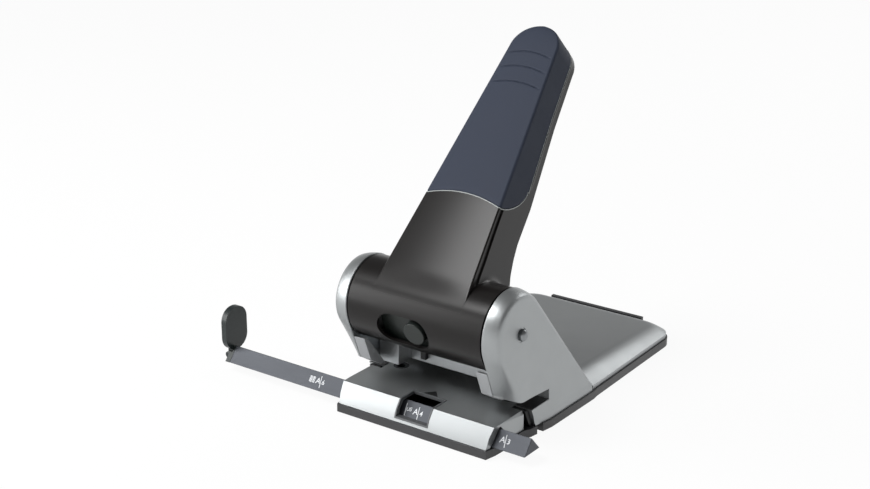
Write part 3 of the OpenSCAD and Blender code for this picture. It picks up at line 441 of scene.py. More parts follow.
@dataclass
class Shop:
    """Holds the loaded frame and the finishes, and turns points or CAD nodes into pieces."""

    frame: Dict[str, Any]
    paints: Dict[Coat, bpy.types.Material] = field(default_factory=dict)

    def paint(self, coat: Coat) -> bpy.types.Material:
        """Return the material of a finish, built the first time it is asked for.

        Args:
            coat: The finish.

        Returns:
            Its material, which all pieces share.
        """
        if coat not in self.paints:
            self.paints[coat] = coat.value.build()
        return self.paints[coat]

    def slot_of(self, node: str) -> str:
        """Return the record's material slot of a CAD node.

        Args:
            node: Name of the node.

        Returns:
            Name of the slot.
        """
        for part in self.frame["record"]["subparts"]:
            if part["node"] == node:
                return part["material_slot"]
        raise KeyError(node)

    def body_of(self, node: str) -> Body:
        """Return the body that a CAD node rides on.

        Args:
            node: Name of the node.

        Returns:
            The body.
        """
        for body, members in self.frame["record"]["behaviour"]["bodies"].items():
            if node in members:
                return Body(body)
        raise KeyError(node)

    def piece(self, name: str, points: np.ndarray, quads: np.ndarray, body: Body, coat: Coat,
              slot: str, stands_for: Sequence[str] = (),
              crease_deg: float = 40.0) -> bpy.types.Object:
        """Make a piece from points in millimetres and the faces through them.

        Args:
            name: Name of the piece.
            points: Points, one in each row.
            quads: Faces as rows of point numbers.
            body: Body that it rides on.
            coat: Its finish.
            slot: The record's slot for that finish; not used.
            stands_for: CAD nodes that it replaces.
            crease_deg: Edges sharper than this stay creased.

        Returns:
            The piece, at the origin, with its seams and poles closed.
        """
        mesh = mesh_through(name, points, quads.tolist())
        with reworked(mesh) as work:
            bmesh.ops.remove_doubles(work, verts=work.verts, dist=SAME_POINT)
            bmesh.ops.dissolve_degenerate(work, edges=work.edges, dist=1e-7)
            bmesh.ops.recalc_face_normals(work, faces=work.faces)
        return self.dress(name, mesh, body, coat, stands_for, crease_deg)

    def dress(self, name: str, mesh: bpy.types.Mesh, body: Body, coat: Coat,
              stands_for: Sequence[str], crease_deg: float) -> bpy.types.Object:
        """Link a mesh as a piece with its finish, shading, body and the nodes it replaces.

        Args:
            name: Name of the piece.
            mesh: Its mesh.
            body: Body that it rides on.
            coat: Its finish.
            stands_for: CAD nodes that it replaces.
            crease_deg: Edges sharper than this stay creased.

        Returns:
            The piece.
        """
        mesh.materials.clear()
        mesh.materials.append(self.paint(coat))
        mesh.shade_smooth()
        mesh.set_sharp_from_angle(angle=math.radians(crease_deg))
        piece = linked(name, mesh)
        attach(piece, body.value)
        if stands_for:
            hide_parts(*stands_for)
        LOG.info("%s: %d faces on %s", name, len(mesh.polygons), body.value)
        return piece

    def softened(self, node: str, edge_mm: float, coat: Optional[Coat] = None, segments: int = 2,
                 angle_deg: float = 28.0) -> bpy.types.Object:
        """Copy a CAD node with rounded edges, as the mould or the polishing leaves them.

        The faces of one plane, within 0.4 degrees, become one first.

        Args:
            node: The CAD node.
            edge_mm: Width of the rounding.
            coat: Its finish, or the one of its slot.
            segments: Steps across the rounding.
            angle_deg: Edges flatter than this aren't rounded.

        Returns:
            The copy, which replaces the node.
        """
        slot = self.slot_of(node)
        mesh = self.frame["nodes"][node].data.copy()
        mesh.name = node + "_soft"
        with reworked(mesh) as work:
            bmesh.ops.remove_doubles(work, verts=work.verts, dist=SAME_POINT)
            bmesh.ops.dissolve_degenerate(work, edges=work.edges, dist=1e-6)
            bmesh.ops.dissolve_limit(work, angle_limit=math.radians(0.4), verts=work.verts,
                                     edges=work.edges, use_dissolve_boundaries=False)
        old_normals = mesh.attributes.get("custom_normal")
        if old_normals:
            mesh.attributes.remove(old_normals)
        piece = self.dress(node + "_soft", mesh, self.body_of(node), coat or SLOTS[slot],
                           (node,), 40.0)
        bevel = piece.modifiers.new("rounding", "BEVEL")
        bevel.width = edge_mm * MM
        bevel.segments = segments
        bevel.limit_method = "ANGLE"
        bevel.angle_limit = math.radians(angle_deg)
        bevel.harden_normals = True
        return piece

    def finish_nodes(self) -> None:
        """Give every CAD node that stays the finish of its slot."""
        for node, item in self.frame["nodes"].items():
            paint = self.paint(SLOTS[self.slot_of(node)])
            if not item.material_slots:
                item.data.materials.append(paint)
            for place in item.material_slots:
                place.material = paint


# ---------------------------------------------------------------------------------------------
# Lever


@dataclass
class Lever:
    """The drum's neck, the back strip and the soft grip over it.

    In the lever's own frame u runs along it from the axle and w out of its front face. Its section
    is followed from one back edge over the face to the other, as places of side, across, height and
    out: side and height say how far a place lies along the face and up the side, across and out how
    far round the rounded corner.
    """

    # lean at rest, the axle, the drum and the length from the axle to the tip
    lean_deg: float = 46.2
    axle_y: float = -17.8
    axle_z: float = 69.2
    drum_r: float = 25.0
    length: float = 185.0
    # the section: half widths at the axle and at the tip, face, its camber and its corners
    neck_half: float = 32.2
    tip_half: float = 17.0
    face_w: float = 25.3
    camber: float = 0.6
    corner: float = 1.6
    # depth of the section at distances u
    depths: Tuple[Tuple[float, float], ...] = (
        (0, 40), (31, 40), (36.5, 36.8), (45.5, 34), (55, 32.4), (79, 33), (131, 28), (170, 27))
    tip_drop: float = 1.6
    tip_rise: float = 2.0
    # the seam between strip and grip, as a height, and the places that keep its edge crisp
    seam: float = 0.24
    near_seam: Tuple[float, ...] = (-0.03, -0.012, 0.0, 0.02, 0.04, 0.05, 0.07, 0.1)
    grip_start: float = 62.8
    seam_step: float = 0.04
    grip_rise: float = 8.0
    grip_corner: float = 15.0
    grip_arch: float = 4.0
    grip_t: float = 3.0
    # the grip's rounded lower edge: rows along it and the depth of the rounding
    lip: Tuple[float, ...] = (0.0, 0.12, 0.4, 0.85, 1.5)
    lip_depth: float = 1.1
    seam_round: float = 0.35
    wall: float = 2.4
    # where the neck meets the drum: length of the blend, root inside the skin, gap over it
    blend: float = 16.0
    fillet: float = 4.0
    flare_share: float = 0.45
    root_in: float = 0.1
    face_root: float = 5.0
    gap: float = 0.05
    # the channel down each side, from a height to a share of the corner, and the strip's ridge
    channel: Tuple[float, float] = (0.9, 0.62)
    channel_edge: float = 0.004
    channel_depth: float = 1.0
    ridge: float = 0.35
    ridge_below: float = 0.012
    ridge_width: float = 0.011
    # the grip's grooves: places along it, depth, width, arch and reach to the sides
    grooves: Tuple[float, ...] = (144.0, 154.9, 165.4)
    groove_depth: float = 0.8
    groove_width: float = 0.42
    groove_arch: float = 3.2
    groove_reach: float = 0.86
    bead_r: float = 0.32

    def place(self, points: np.ndarray) -> np.ndarray:
        """Turn points from the lever's frame (x, u, w) to the row frame.

        Y is the axle's plus u cos(lean) - w sin(lean), and Z the axle's plus u sin(lean) +
        w cos(lean).

        Args:
            points: Points with x, u and w.

        Returns:
            Points with X, Y and Z.
        """
        lean = math.radians(self.lean_deg)
        x, u, w = points[..., 0], points[..., 1], points[..., 2]
        return np.stack([x, self.axle_y + u * math.cos(lean) - w * math.sin(lean),
                         self.axle_z + u * math.sin(lean) + w * math.cos(lean)], axis=-1)

    def section(self, low: float) -> np.ndarray:
        """List the places round the section, from height low up one side and down the other.

        Args:
            low: Lowest height of the places.

        Returns:
            One row for each place: its side, across, height and out.
        """
        near_seam = self.seam + np.array(self.near_seam)
        near_channel = self.channel[0] + self.channel_edge * np.array([-1.0, 1.0])
        rise = np.unique(np.round(np.concatenate([np.linspace(low, 1.0, 15), near_seam,
                                                  near_channel]), 6))
        rise = rise[rise >= low]
        turn = np.linspace(0.0, QUARTER, 13)[1:]
        face = np.linspace(1.0, 0.0, 13)[1:]
        ones = np.ones_like
        half = np.concatenate([
            np.stack([ones(rise), ones(rise), rise, 0 * rise], axis=-1),
            np.stack([ones(turn), np.cos(turn), ones(turn), np.sin(turn)], axis=-1),
            np.stack([face, 0 * face, ones(face), ones(face)], axis=-1)])
        return np.concatenate([half, half[-2::-1] * np.array([-1.0, -1.0, 1.0, 1.0])])

    def skin(self, places: np.ndarray, stations: np.ndarray, start: np.ndarray,
             inset: Any) -> np.ndarray:
        """Work out a grid of points in the lever's frame.

        From station 0 to 1 a point runs from its start to the tip's centre, and from 1 to 2 it
        turns a quarter round the tip. The half width goes in a straight line to the tip's radius
        and then with the cosine of the turn; the face drops and the back rises with 1 - cosine.

        Args:
            places: Places round the section.
            stations: Stations along the lever.
            start: Distance u at which each place starts.
            inset: How far a point is set in, as one number or a grid of stations by places.

        Returns:
            A grid of stations by places with x, u and w.
        """
        side, across, height, out = places.T
        turn = QUARTER * np.clip(stations - 1.0, 0.0, 1.0)[:, None]
        tip_u = self.length - self.tip_half
        body_u = start[None, :] + np.minimum(stations, 1.0)[:, None] * (tip_u - start[None, :])
        u = body_u + (self.tip_half - inset) * np.sin(turn)
        half = self.neck_half + (self.tip_half - self.neck_half) * body_u / tip_u
        half = (half - inset) * np.cos(turn)
        deep = np.interp(body_u, *zip(*self.depths))
        top = self.face_w - inset - self.tip_drop * (1.0 - np.cos(turn))
        low = self.face_w - deep + self.tip_rise * (1.0 - np.cos(turn))
        r = np.minimum(np.maximum(self.corner - np.asarray(inset) / 2, 0.4), half * 0.6)
        arch = self.camber * (1.0 - side ** 2) * half / self.tip_half
        x = side * (half - r) + r * across
        w = low + (top - r - low) * height + r * out + arch
        return np.stack([x, u + 0 * x, w], axis=-1)

    def onto_drum(self, grid: np.ndarray, places: np.ndarray) -> np.ndarray:
        """Blend the neck into the drum.

        The face comes down to the drum's skin over the blend's length, and before the tangent
        line it follows the drum's circle. Low down, the sides flare out by a quarter circle of the
        distance from the drum's skin. The corner joins the face from 0.3 of its turn on.

        Args:
            grid: Points of the neck in the lever's frame.
            places: Places round the section.

        Returns:
            The blended points.
        """
        x, u, w = grid[..., 0], grid[..., 1], grid[..., 2].copy()
        r = self.drum_r + self.gap
        circle = np.sqrt(np.maximum(r * r - np.minimum(u, 0.0) ** 2, 0.0))
        share = smoothstep(u / self.blend)
        on_face = np.clip((places[:, 3] - 0.3) / 0.7, 0.0, 1.0)[None, :]
        w -= on_face * (1.0 - share) * np.maximum(w - circle, 0.0)
        reach = np.clip((np.hypot(u, w) - self.drum_r) / self.fillet, 0.0, 1.0)
        flare = self.fillet * (1.0 - np.sqrt(1.0 - (1.0 - reach) ** 2))
        flare = flare * smoothstep((1.0 - places[:, 2]) / self.flare_share)[None, :]
        half = np.abs(x).max(axis=1, keepdims=True)
        return np.stack([x * (1.0 + flare / half), u, w], axis=-1)

    def drum_start(self, places: np.ndarray) -> np.ndarray:
        """Return the distance u at which each place meets the drum's skin, a little inside it.

        Args:
            places: Places round the section.

        Returns:
            One distance for each place.
        """
        at_axle = self.skin(places, np.array([0.0]), np.zeros(len(places)), 0.0)[0, :, 2]
        r = self.drum_r - self.root_in
        return np.sqrt(np.maximum(r * r - at_axle ** 2, 0.0)) - self.face_root * places[:, 3] ** 3

    def grip_edge(self, places: np.ndarray) -> np.ndarray:
        """Return the distance u at which the grip starts at each place.

        On the face it is an arch. Down the side it rises evenly and turns round into the seam.

        Args:
            places: Places round the section.

        Returns:
            One distance for each place.
        """
        side, height = places[:, 0], places[:, 2]
        down = np.clip((1.0 - height) / (1.0 - self.seam - self.seam_step), 0.0, 1.0)
        round_up = self.grip_rise * down + self.grip_corner * (1.0 - np.sqrt(1.0 - down ** 2))
        return self.grip_start + np.where(height < 1.0, round_up,
                                          self.grip_arch * (1.0 - side ** 2))

    def neck(self, shop: Shop) -> bpy.types.Object:
        """Build the gloss black neck with the back strip that runs on to the tip.

        Args:
            shop: Where the pieces are made and dressed.

        Returns:
            The piece.
        """
        places = self.section(0.0)
        height = places[:, 2]
        start, edge = self.drum_start(places), self.grip_edge(places)
        covered = (height > self.seam + 0.01)[None, :]
        # the rows lie closer towards the drum
        near = np.linspace(0.0, 1.0, 27)[:, None] ** 1.5
        near_u = start[None, :] + near * (edge - self.gap - start)[None, :]
        far = np.concatenate([np.linspace(0.0, 1.0, 34), np.linspace(1.0, 2.0, 13)[1:]])
        cavity = self.wall + self.grip_t

        # a channel runs down each side just below the face's edge, and the strip has a fine ridge
        channel = (height - self.channel[0] + self.channel_edge) / (2.0 * self.channel_edge)
        sunk = self.channel_depth * (smoothstep(channel)
                                     * smoothstep((self.channel[1] - places[:, 3]) / 0.2))
        proud = self.ridge * np.exp(
            -((height - self.seam + self.ridge_below) / self.ridge_width) ** 2)

        def layer(depth: float, under: float, shaped: float) -> np.ndarray:
            """Join the rows up to the grip's edge, set in by depth, to those under the grip.

            Args:
                depth: How far the rows are set in.
                under: How far those under the grip are.
                shaped: 1 where the channel and the ridge show, and else 0.

            Returns:
                A grid of points in the lever's frame.
            """
            rows = np.stack([self.skin(places, np.array([0.0]), u, depth)[0] for u in near_u])
            rows[..., 0] -= shaped * np.sign(rows[..., 0]) * sunk[None, :]
            below = self.skin(places, far, edge,
                              np.where(covered, under, depth) + 0 * far[:, None])
            below[..., 0] += (shaped * np.sign(below[..., 0]) * proud[None, :]
                              * smoothstep(far * 12.0)[:, None])
            return np.concatenate([self.onto_drum(rows, places), below])

        points, quads = wall_between(layer(0.0, self.grip_t + self.gap, 1.0),
                                     layer(cavity, cavity, 0.0))
        return shop.piece("neck_and_back_strip", self.place(points), quads, Body.LEVER,
                          Coat.GLOSS_BLACK, "gloss_black", ("neck_shell",))

    def grip(self, shop: Shop) -> bpy.types.Object:
        """Build the soft grip, with its rounded lower edge and the three arched grooves.

        Args:
            shop: Where the pieces are made and dressed.

        Returns:
            The piece.
        """
        places = self.section(self.seam)
        edge = self.grip_edge(places)
        lip = np.array(self.lip)
        lip_in = self.lip_depth * (1.0 - np.sqrt(1.0 - (1.0 - lip / lip[-1]) ** 2))
        span = self.length - self.tip_half - self.grip_start
        # the rows lie close from 6 mm below the first groove
        fine_from = (self.grooves[0] - 6.0 - self.grip_start) / span
        stations = np.concatenate([lip / span, np.linspace(lip[-1] / span, fine_from, 34)[1:],
                                   np.linspace(fine_from, 1.0, 130)[1:],
                                   np.linspace(1.0, 2.0, 19)[1:]])
        inset = np.zeros((len(stations), len(places)))
        inset[:len(lip)] = lip_in[:, None]
        plain = self.skin(places, stations, edge, 0.0)
        across = plain[..., 0] / np.maximum(np.abs(plain[..., 0]).max(axis=1, keepdims=True), 1.0)
        on_face = (smoothstep((self.groove_reach - np.abs(across)) / 0.08)
                   * (places[:, 3] > 0.6)[None, :])
        for groove in self.grooves:
            line = groove - self.groove_arch * across ** 2
            inset += on_face * self.groove_depth * np.exp(
                -((plain[..., 1] - line) / self.groove_width) ** 2)
        # the seam's edge is rounded too
        inset[:, [0, -1]] = np.maximum(inset[:, [0, -1]], self.seam_round)
        points, quads = wall_between(self.skin(places, stations, edge, inset),
                                     self.skin(places, stations, edge, self.grip_t))
        return shop.piece("soft_grip", self.place(points), quads, Body.LEVER, Coat.SOFT_GRIP,
                          "soft_grip", ("grip",), crease_deg=50.0)

    def bead(self, shop: Shop) -> bpy.types.Object:
        """Build the fine light bead round the grip: up both seams and along its lower edge. Its
        light grey is a painted highlight along those edges.

        It starts near the tip's middle and lies a little over half its radius deep.

        Args:
            shop: Where the pieces are made and dressed.

        Returns:
            The piece.
        """
        places = self.section(self.seam)
        edge = self.grip_edge(places) - self.bead_r
        grid = self.skin(places, np.linspace(1.9, 0.0, 70), edge, self.bead_r * 0.55)
        line = self.place(np.concatenate([grid[:, 0], grid[-1, 1:-1], grid[::-1, -1]]))
        curve = bpy.data.curves.new("grip_bead_line", "CURVE")
        curve.dimensions = "3D"
        curve.bevel_depth = self.bead_r * MM
        curve.bevel_resolution = 2
        spline = curve.splines.new("POLY")
        spline.points.add(len(line) - 1)
        spline.points.foreach_set("co", np.column_stack([line * MM, np.ones(len(line))]).ravel())
        # the bead's light grey is a painted highlight
        return shop.dress("grip_edge_highlight_bead", mesh_of_curve(curve), Body.LEVER, Coat.HIGHLIGHT_BEAD,
                          (), 60.0)

    def build(self, shop: Shop) -> None:
        """Build the lever's visible pieces.

        Args:
            shop: Where the pieces are made and dressed.
        """
        self.neck(shop)
        self.grip(shop)
        self.bead(shop)
        shop.softened("drum_shell", 0.7, segments=3, angle_deg=40.0)
        # the slider's darkened plastic is partly painted shade from the drum
        shop.softened("lock_slider", 0.5, Coat.LOCK_PLASTIC, angle_deg=35.0)
        shop.softened("lever_underside", 0.4)


# ---------------------------------------------------------------------------------------------
# Rear cover


@dataclass
class RearCover:
    """The low silver cover behind the cheeks, with the tongue that runs forward between them."""

    # plan: half width at the front, both ends along Y, the rear corners and half width there
    side: float = 61.3
    front: float = 60.8
    rear: float = 168.0
    corner: float = 12.0
    rear_side: float = 59.5
    # heights of the lower edge, the side walls and the top, and the shoulders' widths
    low: float = 5.95
    wall_top: float = 8.6
    front_top: float = 15.0
    rear_top: float = 12.0
    shoulder: float = 16.0
    rear_shoulder: float = 5.5
    # the tongue: half width, front end, lower edge, rounding and how far it runs under the pillow
    tongue_half: float = 47.8
    tongue_from: float = 14.3
    tongue_low: float = 8.6
    tongue_edge: float = 0.9
    overlap: float = 0.4
    wall: float = 2.0

    def half_width(self, y: np.ndarray) -> np.ndarray:
        """Return the plan's half width: a straight side that closes with a quarter circle.

        Args:
            y: Places along Y.

        Returns:
            The half width at each.
        """
        side = np.interp(y, [self.front, self.rear - self.corner], [self.side, self.rear_side])
        past = np.clip(y - (self.rear - self.corner), 0.0, self.corner)
        return side - self.corner + np.sqrt(self.corner ** 2 - past ** 2)

    def height(self, x: np.ndarray, y: np.ndarray) -> np.ndarray:
        """Return the pillow's height at a point of the plan.

        From the side walls it rises over a wide shoulder by a parabola, and from the rear one over
        a narrow shoulder by a quarter of an ellipse.

        Args:
            x: Places across.
            y: Places along Y.

        Returns:
            The height at each.
        """
        top = np.interp(y, [self.front, self.rear], [self.front_top, self.rear_top])
        from_side = np.clip((self.half_width(y) - np.abs(x)) / self.shoulder, 0.0, 1.0)
        from_rear = np.clip((self.rear - y) / self.rear_shoulder, 0.0, 1.0)
        side_rise, rear_rise = 1.0 - (1.0 - np.array([from_side, from_rear])) ** 2.0
        return self.wall_top + (top - self.wall_top) * side_rise * np.sqrt(rear_rise)

    def layer(self, inset: float) -> np.ndarray:
        """Work out one layer of the pillow as a grid with its side walls, set in by inset.

        Args:
            inset: How far the layer lies inside the skin.

        Returns:
            The grid of points.
        """
        # the sines put the points closer together towards the walls
        across = np.sin(QUARTER * np.linspace(-1.0, 1.0, 61))
        y = self.front + (self.rear - self.front) * np.sin(QUARTER * np.linspace(0.0, 1.0, 49))
        yy, ss = np.meshgrid(y, across, indexing="ij")
        xx = ss * self.half_width(yy)
        zz = self.height(xx, yy)
        top = np.stack([xx, yy, zz], axis=-1)
        # the side walls go straight down from the outline, as one more ring of points
        ring = np.zeros((top.shape[0] + 1, top.shape[1] + 2, 3))
        ring[:-1, 1:-1] = top
        ring[:-1, 0], ring[:-1, -1] = top[:, 0], top[:, -1]
        ring[-1] = ring[-2]
        ring[:, [0, -1], 2] = self.low
        ring[-1, :, 2] = self.low
        centre = np.array([0.0, (self.front + self.rear) / 2, 0.0])
        shrink = np.array([1 - inset / self.side, 1 - 2 * inset / (self.rear - self.front), 1.0])
        ring = centre + (ring - centre) * shrink
        ring[..., 2] -= np.where(ring[..., 2] > self.low + 0.01, inset, 0.0)
        return ring

    def tongue(self) -> Tuple[np.ndarray, np.ndarray]:
        """Work out the tongue: a flat strip with rounded edges and short walls.

        Returns:
            Its points, and the quads through them.
        """
        half_x, top, r = self.tongue_half, self.front_top, self.tongue_edge
        corner = np.array([half_x - r, top - r]) + r * unit_at(np.linspace(0.0, QUARTER, 6))
        half = np.concatenate([[[half_x, self.tongue_low]], corner,
                               [[half_x * 0.5, top], [0.0, top]]])
        profile = np.concatenate([half, half[-2::-1] * np.array([-1.0, 1.0])])
        y, x = np.meshgrid([self.tongue_from, self.front + self.overlap], profile[:, 0],
                           indexing="ij")
        grid = np.stack([x, y, np.tile(profile[:, 1], (2, 1))], axis=-1)
        under = grid.copy()
        under[..., 2] = np.minimum(under[..., 2], top - self.wall)
        under[..., 0] *= 1.0 - self.wall / half_x
        return wall_between(grid, under)

    def build(self, shop: Shop) -> None:
        """Build the cover as one piece with its tongue.

        Args:
            shop: Where the pieces are made and dressed.
        """
        points, quads = wall_between(self.layer(0.0), self.layer(self.wall))
        more, more_quads = self.tongue()
        shop.piece("rear_cover_pillow", np.concatenate([points, more]),
                   np.concatenate([quads, more_quads + len(points)]), Body.BASE, Coat.SILVER,
                   "silver_casting", ("rear_cover",), crease_deg=45.0)


# ---------------------------------------------------------------------------------------------
# Springs


@dataclass
class Springs:
    """The two return springs round the punches."""

    # place across, both ends' heights, radius of the coil and thickness of the wire
    hole_x: float = 40.0
    low: float = 44.2
    high: float = 65.7
    radius: float = 4.1
    wire: float = 1.0
    turns: float = 6.0
    pressed: float = 13.4
    # share of the easing that is left out at each end, and the mesh's points along and round
    eased: float = 0.12
    points: int = 260
    sides: int = 10

    def build(self, shop: Shop) -> None:
        """Build both springs: a helix whose pitch eases to flat closed turns at its ends.

        Args:
            shop: Where the pieces are made and dressed.
        """
        turn = np.linspace(0.0, self.turns * 2 * np.pi, self.points)
        rise = smoothstep(self.eased + (1.0 - 2.0 * self.eased) * turn / turn[-1])
        z = self.low + self.wire / 2 + (self.high - self.low - self.wire) * (
            (rise - rise[0]) / (rise[-1] - rise[0]))
        for side, name in ((-1, "left"), (1, "right")):
            x = side * self.hole_x
            line = np.column_stack([self.radius * unit_at(turn) + np.array([x, 0.0]), z])
            mesh = mesh_through(f"spring_{name}", tube_points(line, self.wire / 2, self.sides),
                                ring_faces(len(line), self.sides))
            piece = shop.dress(f"return_spring_{name}_wire", mesh, Body.BASE, Coat.SPRING_STEEL,
                               (f"return_spring_{name}",), 60.0)
            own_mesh(piece)


# ---------------------------------------------------------------------------------------------
# Guide bar


# degrees by which the marks lean
LEAN = 8.0


@dataclass(frozen=True)
class Letters:
    """Letters of a mark: what they read, their height, place from its middle and turn."""

    words: str
    tall: float
    across: float
    up: float
    turn_deg: float = LEAN


@dataclass(frozen=True)
class SizeMark:
    """The letters of a mark, and its tick's place across and up, if it has one."""

    letters: Tuple[Letters, ...]
    tick: Optional[Tuple[float, float]] = None


def a_size(digit: str) -> SizeMark:
    """Return the mark of an A size: the letter and its digit, with the tick between them."""
    return SizeMark((Letters("A", 3.6, -2.2, 0.0), Letters(digit, 3.06, 1.9, -0.2)), (0.0, -0.3))


class Mark(Enum):
    """The marks on the bar, which are generic paper sizes."""

    A3 = a_size("3")
    A4 = a_size("4")
    A6 = a_size("6")
    EIGHT = SizeMark((Letters("888", 2.0, -2.2, 0.0, 90.0), Letters("888", 2.0, 0.1, 0.0, 90.0)))
    US = SizeMark((Letters("US", 2.3, 1.8, 0.4),), (-0.4, 0.0))


@dataclass
class GuideBar:
    """The triangular guide bar with its screen-printed size marks, and the flag on its end."""

    # the front slope: its lower edge, the way back and up to the bar's ridge
    front: float = -40.5
    low_z: float = 6.5
    apex: Tuple[float, float] = (7.5, 9.2)
    # the ink: its height over the slope, the marks' middle up the slope and the ticks' size
    lift: float = 0.04
    middle: float = 6.0
    tick_h: float = 7.6
    tick_w: float = 0.45
    # each mark's place along the bar, from the window's middle
    marks: Tuple[Tuple[Mark, float], ...] = (
        (Mark.A4, 0.0), (Mark.US, -8.8), (Mark.A6, -74.5), (Mark.EIGHT, -80.0), (Mark.A3, 61.5))

    def on_slope(self, flat: np.ndarray, x: float, up: float, turn_deg: float) -> np.ndarray:
        """Lay flat points on the bar's front slope.

        Args:
            flat: Points across and up the slope, from the mark's own middle.
            x: Place of the mark along the bar.
            up: Place of its middle up the slope.
            turn_deg: Turn of the mark in the slope's plane.

        Returns:
            Points in the row frame.
        """
        turn = math.radians(turn_deg)
        a = flat[:, 0] * math.cos(turn) - flat[:, 1] * math.sin(turn)
        b = flat[:, 0] * math.sin(turn) + flat[:, 1] * math.cos(turn) + up
        length = math.hypot(*self.apex)
        y, z = self.apex[0] / length, self.apex[1] / length
        return np.stack([x + a, self.front + y * b - z * self.lift,
                         self.low_z + z * b + y * self.lift], axis=-1)

    def outlined(self, words: str, tall: float) -> Tuple[np.ndarray, List[List[int]]]:
        """Return the flat points and faces of a few letters, centred, in millimetres.

        The capitals of the plain face are 0.72 of its size. They are slanted a little and set bold.

        Args:
            words: What the letters read.
            tall: Height of a capital.

        Returns:
            The points, and the faces through them.
        """
        curve = bpy.data.curves.new("mark_letters", "FONT")
        curve.body = words
        curve.size = tall / 0.72
        curve.shear = 0.12
        curve.offset = 0.06
        curve.align_x, curve.align_y = "CENTER", "CENTER"
        curve.resolution_u = 3
        mesh = mesh_of_curve(curve)
        points = np.empty(len(mesh.vertices) * 3)
        mesh.vertices.foreach_get("co", points)
        faces = [list(p.vertices) for p in mesh.polygons]
        bpy.data.meshes.remove(mesh)
        return points.reshape(-1, 3)[:, :2], faces

    def build(self, shop: Shop) -> None:
        """Build the marks as one thin printed piece, and soften the bar, bracket and flag.

        Args:
            shop: Where the pieces are made and dressed.
        """
        points: List[np.ndarray] = []
        faces: List[List[int]] = []

        def add(flat: np.ndarray, its_faces: List[List[int]], x: float, up: float,
                turn: float) -> None:
            """Add flat faces at a place of the slope.

            Args:
                flat: The flat points.
                its_faces: The faces through them.
                x: Place along the bar.
                up: Place up the slope.
                turn: Turn in the slope's plane, in degrees.
            """
            first = sum(len(p) for p in points)
            points.append(self.on_slope(flat, x, up, turn))
            faces.extend([[i + first for i in f] for f in its_faces])

        tick = (np.array([[-1, -1], [1, -1], [1, 1], [-1, 1]])
                * np.array([self.tick_w / 2, self.tick_h / 2]))
        for mark, x in self.marks:
            for part in mark.value.letters:
                add(*self.outlined(part.words, part.tall), x + part.across, self.middle + part.up,
                    part.turn_deg)
            if mark.value.tick:
                across, up = mark.value.tick
                add(tick, [[0, 1, 2, 3]], x + across, self.middle + up, LEAN)
        mesh = mesh_through("bar_marks", np.concatenate(points), faces)
        shop.dress("bar_size_marks", mesh, Body.BAR, Coat.MARK_INK, (), 60.0)
        shop.softened("guide_bar", 0.35)
        shop.softened("flag_bracket", 0.25)
        shop.softened("stop_flag", 0.9, segments=3, angle_deg=40.0)


# ---------------------------------------------------------------------------------------------
# Cheeks and housing


